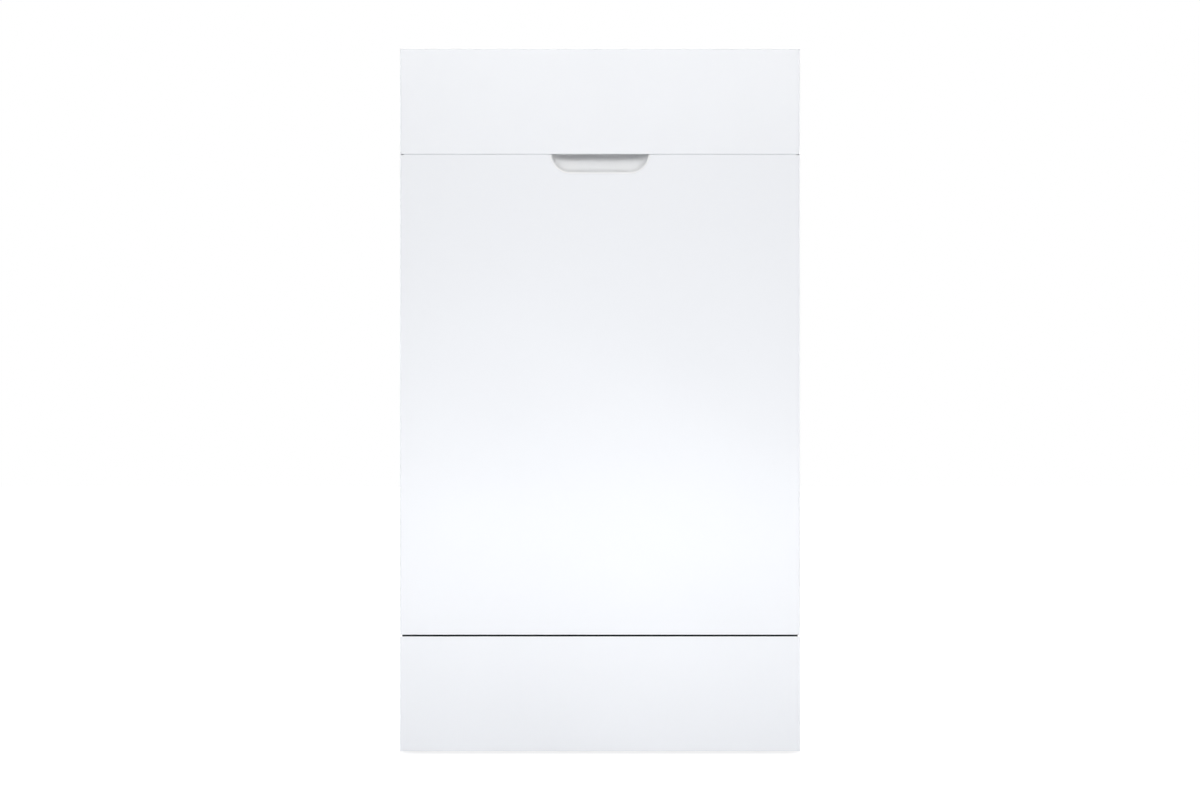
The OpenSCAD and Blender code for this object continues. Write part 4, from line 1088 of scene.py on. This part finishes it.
# %% Soft edges
SOFT_EDGES = (
    (cabinet_paint, {0.35: "side_panel_left side_panel_right", 0.4: "top_cover"}),
    (black_base, {0.8: "base_tray"}),
    (stainless_along_z, {0.3: "tub_wrap tub_back_wall", 0.4: "door_inner_panel"}),
    (stainless_along_y, {0.8: "tub_floor", 0.3: "upper_rack_guides upper_rack_runners"}),
    (seal_rubber, {1.6: "door_gasket", 1.0: "sill_seal"}),
    (grey_wash, {0.9: "sump", 0.8: "riser_tube", 0.5: "filter_cylinder"}),
    (black_case, {1.0: "circulation_pump", 0.8: "drain_pump", 0.5: "mains_inlet", 0.4: "latch_body"}),
    (pale_wash, {1.2: "water_softener leak_float", 1.6: "water_chamber", 0.8: "salt_cap",
                 0.4: "pump_impeller"}),
    (zinc_plate, {0.4: "hinge_brackets hinge_arms latch_striker latch_hook"}),
    (sieve_steel, {0.3: "fine_filter"}), (strip_grain, {0.4: "control_strip"}),
    (dark_display, {0.4: "display_window"}),
    (key_caps, {0.7: "power_button program_button half_load_button start_button"}))

for coat, widths in SOFT_EDGES:
    for width_mm, names in widths.items():
        for node in names.split():
            print(node, softened(node, width_mm, coat))

# %% [markdown]
# ## Cutlery basket
#
# The basket is moulded with upright slots in its walls and a grid of square holes in its floor, or the
# water couldn't wash through it. The grid tree lays out a block of cutters, and the exact boolean takes
# them out of the solid basket.

# %% Slotted basket
BASKET = (52.0, -208.0, 212.92)
CELL_X, CELL_Y, CELL_WALL = 110 / 3 - 2 + 2 / 3, 42.0, 2.0
SLOT = 3.2
SLOT_LOW, SLOT_HIGH, SLOT_STEP = 12, 40, (0, 0, 36)

x0, y0, z0 = BASKET
basket = merged("cutlery_basket")
for cell in range(3):
    x = x0 + CELL_WALL + cell * (CELL_X + CELL_WALL) + 4.6
    slot = plain_bar((x, y0 - 3, z0 + SLOT_LOW), (x + SLOT, y0 + 100, z0 + SLOT_HIGH))
    basket = cut(basket, grid_of(slot, 4, ((CELL_X - 12.4) / 3, 0, 0), 2, SLOT_STEP))
for cell in range(2):
    y = y0 + CELL_WALL + cell * (CELL_Y + CELL_WALL) + 5
    slot = plain_bar((x0 - 3, y, z0 + SLOT_LOW), (x0 + 120, y + SLOT, z0 + SLOT_HIGH))
    basket = cut(basket, grid_of(slot, 5, (0, (CELL_Y - 13.2) / 4, 0), 2, SLOT_STEP))
hole = plain_bar((x0 + 5, y0 + 5, z0 - 2), (x0 + 10, y0 + 10, z0 + 4))
basket = rounded(cut(basket, grid_of(hole, 13, (8.25, 0, 0), 10, (0, 8.45, 0))), 0.4)
print("basket:", show("slotted_cutlery_basket", basket, grey_wash, "cutlery_basket", "cutlery_basket"))

# %% [markdown]
# ## Spray arms
#
# An arm is welded from two moulded halves, so it is a flat box with well rounded edges, a hub that turns on
# the bearing, and nozzles that stand up from it. Each nozzle has a slot, and the slots point different ways
# so that the jets cover the whole rack and push the arm round. One nozzle is modelled and set on six points.

# %% Arms with nozzles
ARM_Y, ARM_HALF, ARM_DEPTH = 10, 11, 10
NOZZLE_SHARES = (0.38, 0.62, 0.85)


def nozzle():
    pad = turned([(0, -1.5), (5, -1.5), (5, 0.5), (4.3, 1.6), (3.4, 2.0), (0, 2.0)], (0, 0, 0), "Z", 24)
    return cut(pad, bar((-2.7, -0.7, 0.6), (2.7, 0.7, 4.0), 0.05))


def spray_arm(node, reach, z0):
    core = turned([(0, -2), (12, -2), (12, 12), (0, 12)], (0, ARM_Y, z0))
    blade = prism(lambda x, y, z: (x, y + ARM_Y, z), pill(reach, ARM_HALF), z0, z0 + ARM_DEPTH)
    hub = turned([(6.2, 0), (18, 0), (20, 2), (20, 8), (18.4, 10), (9.5, 10), (8.6, 9.2), (6.2, 9.2)],
                 (0, ARM_Y, z0))
    places = [(side * share * reach, ARM_Y, z0 + ARM_DEPTH) for share in NOZZLE_SHARES for side in (-1, 1)]
    parts = [cut(rounded(blade, 3.0, 4), core), hub, copies_at(places, nozzle(), (0, 0, 3.1), grey_wash)]
    print(node, assembled(node + "_moulded", parts, grey_wash, node, node, angle=34))


spray_arm("lower_spray_arm", 163, 183.3)
spray_arm("upper_spray_arm", 156, 486.7)

# %% [markdown]
# ## Dispenser
#
# The dispenser on the inner door has a cup with a sliding lid, a catch that lets the lid go, a screw cap
# for the rinse aid and a vent grille. The grille is a row of shallow slots cut by the same grid of blocks,
# and the cap's rim is knurled with the ring of copies.

# %% Dispenser housing and lid
vents = grid_of(plain_bar((22, -247.4, 398), (58, -244, 400.6)), 8, (0, 0, 7.2))
housing = rounded(cut(merged("dispenser_housing"), vents), 0.6)
catch = turned([(0, -247), (5.6, -247), (5.6, -245.4), (4.8, -244.6), (3.2, -244.2), (0, -244.2)],
               (-28, 0, 545), "Y", 32)
dish = cut(merged("dispenser_lid"), plain_bar((-54, -243.8, 478), (-2, -240, 530)))
ribs = grid_of(bar((-47.2, -244.3, 484), (-45.2, -243.0, 524)), 5, (9.2, 0, 0))
lid = [rounded(dish, 0.5), ribs]
disc = turned([(0, -256), (18.2, -256), (19, -255), (19, -246.4), (18.4, -246), (18.4, -243.8), (17.6, -243),
               (14, -243), (13, -243.8), (0, -243.8)], (40, 0, 505), "Y")
knurl = ring_of(bar((17.9, -0.55, -1.1), (18.95, 0.55, 1.1), 0.2), 30, (40, -244.9, 505), ALONG_Y)
cap = [disc, knurl, bar((25, -244.6, 502.5), (55, -239, 507.5), 1.6)]

print("housing:", show("dispenser_face", housing, pale_wash, "door", "dispenser_housing"))
print("catch:", show("dispenser_catch", catch, grey_wash, "door", slot="grey_plastic"))
print("lid:", assembled("ribbed_lid", lid, grey_wash, "dispenser_lid", "dispenser_lid"))
print("cap:", assembled("knurled_rinse_cap", cap, grey_wash, "rinse_aid_cap", "rinse_aid_cap"))

# %% [markdown]
# ## Small details
#
# A drawn tub has no sharp inner corners: they have a radius of about 12 mm, and without it the steel looks
# like cardboard. Five concave strips fill the corners. The slides get plastic end stops, and a black apron
# hangs from the sill with a black pad at each side: dark sheets put behind the gaps as painted shade, so that
# the gap above the kick plate stays dark. The hose thread and the drain spigot are cut by rings, since a
# turned groove is all that shows of a thread from outside.

# %% Tub corners
CORNER_R = 12.0
TUB_HALF, TUB_FRONT, TUB_BACK, TUB_LOW, TUB_TOP = 201, -256, 262, 179, 762


def corner_outline(steps=10):
    angles = [math.radians(90 * i / steps) for i in range(1, steps)]
    arc = [(CORNER_R * (1 - math.sin(angle)), CORNER_R * (1 - math.cos(angle))) for angle in angles]
    return [(0, 0), (CORNER_R, 0), *arc, (0, CORNER_R)]


corner = corner_outline()
strips = [prism(lambda u, v, w: (w, TUB_BACK - u, TUB_TOP - v), corner, -TUB_HALF, TUB_HALF)]
for side in (-1, 1):
    strips += [
        prism(lambda u, v, w: (side * (TUB_HALF - u), TUB_BACK - v, w), corner, TUB_LOW, TUB_TOP),
        prism(lambda u, v, w: (side * (TUB_HALF - u), w, TUB_TOP - v), corner, TUB_FRONT, TUB_BACK)]
assembled("tub_corner_radii", strips, stainless_along_z, "cabinet", slot="stainless", angle=34)
print("corner strips:", len(strips))

# %% Slide ends, shade apron and hose fittings
stops = []
for x, web in ((-198.4, -198.4), (189, 194.8)):
    for x0, z0, x1, z1 in ((x, 558.6, x + 9.4, 562.8), (x, 569.2, x + 9.4, 573.4),
                           (web, 562.6, web + 3.6, 569.4)):
        stops.append(bar((x0, -244, z0), (x1, -241.6, z1), 0.5))
assembled("slide_end_stops", stops, black_case, "upper_runners", slot="dark_plastic")
# The apron and the two side pads are black sheets that paint shade into the gaps round the kick plate.
shade_apron = [bar((-198, -256.2, 122), (198, -255.0, 150), 0.2)]
shade_apron += [bar((x, -259.2, 121.9), (x + 25.6, -258.0, 131.2), 0.2) for x in (-223.6, 198)]
assembled("sill_apron", shade_apron, black_base, "cabinet", slot="dark_plastic")


def grooved(node, coat, edge_mm, ring_section, centre_mm, count, step):
    rings = grid_of(turned(ring_section, centre_mm, "Y", 40), count, (0, step, 0))
    mesh = shade(cut(rounded(merged(node), edge_mm), rings), 34)
    return show(node + "_grooved", mesh, coat, "cabinet", node)


print("valve:", grooved("inlet_valve", pale_wash, 0.7, [(12.3, 0), (14.6, -0.75), (14.6, 0.75)],
                        (170, 292.6, 130), 4, 1.8))
print("spigot:", grooved("drain_connector", grey_wash, 0.4, [(9.0, 0), (10.8, -1.0), (10.8, 0.5)],
                         (-150, 293.2, 120), 3, 2.2))

# %% [markdown]
# ## Back sheet
#
# A flat back sheet would drum, so it has four pressed beads. Each bead is a long pill with a well rounded
# edge that stands out by twice the sheet.

# %% Beaded back
BEAD_MIDDLE, BEAD_REACH, BEAD_HALF = 482.6, 250.6, 10


def bead(middle):
    blank = prism(lambda z, x, y: (middle + x, y, BEAD_MIDDLE + z), pill(BEAD_REACH, BEAD_HALF), 296.0, 298.3)
    return rounded(blank, 1.5, 4)


back = [bar((-223.2, 295.9, 182.0), (223.2, 296.7, 783.2), 0.2), *[bead(x) for x in (-135, -45, 45, 135)]]
print("back faces:", assembled("beaded_back_sheet", back, spangle, "cabinet", "back_panel", angle=34))

# %% [markdown]
# ## The last solid
#
# Only the control board keeps its own shape, so it just gets its finish here.

# %% Board and the end
for solid in nodes.values():
    if not solid.hide_render:
        solid.data.materials.clear()
        solid.data.materials.append(board_green)
print("solids with their own shape:", sum(not solid.hide_render for solid in nodes.values()))
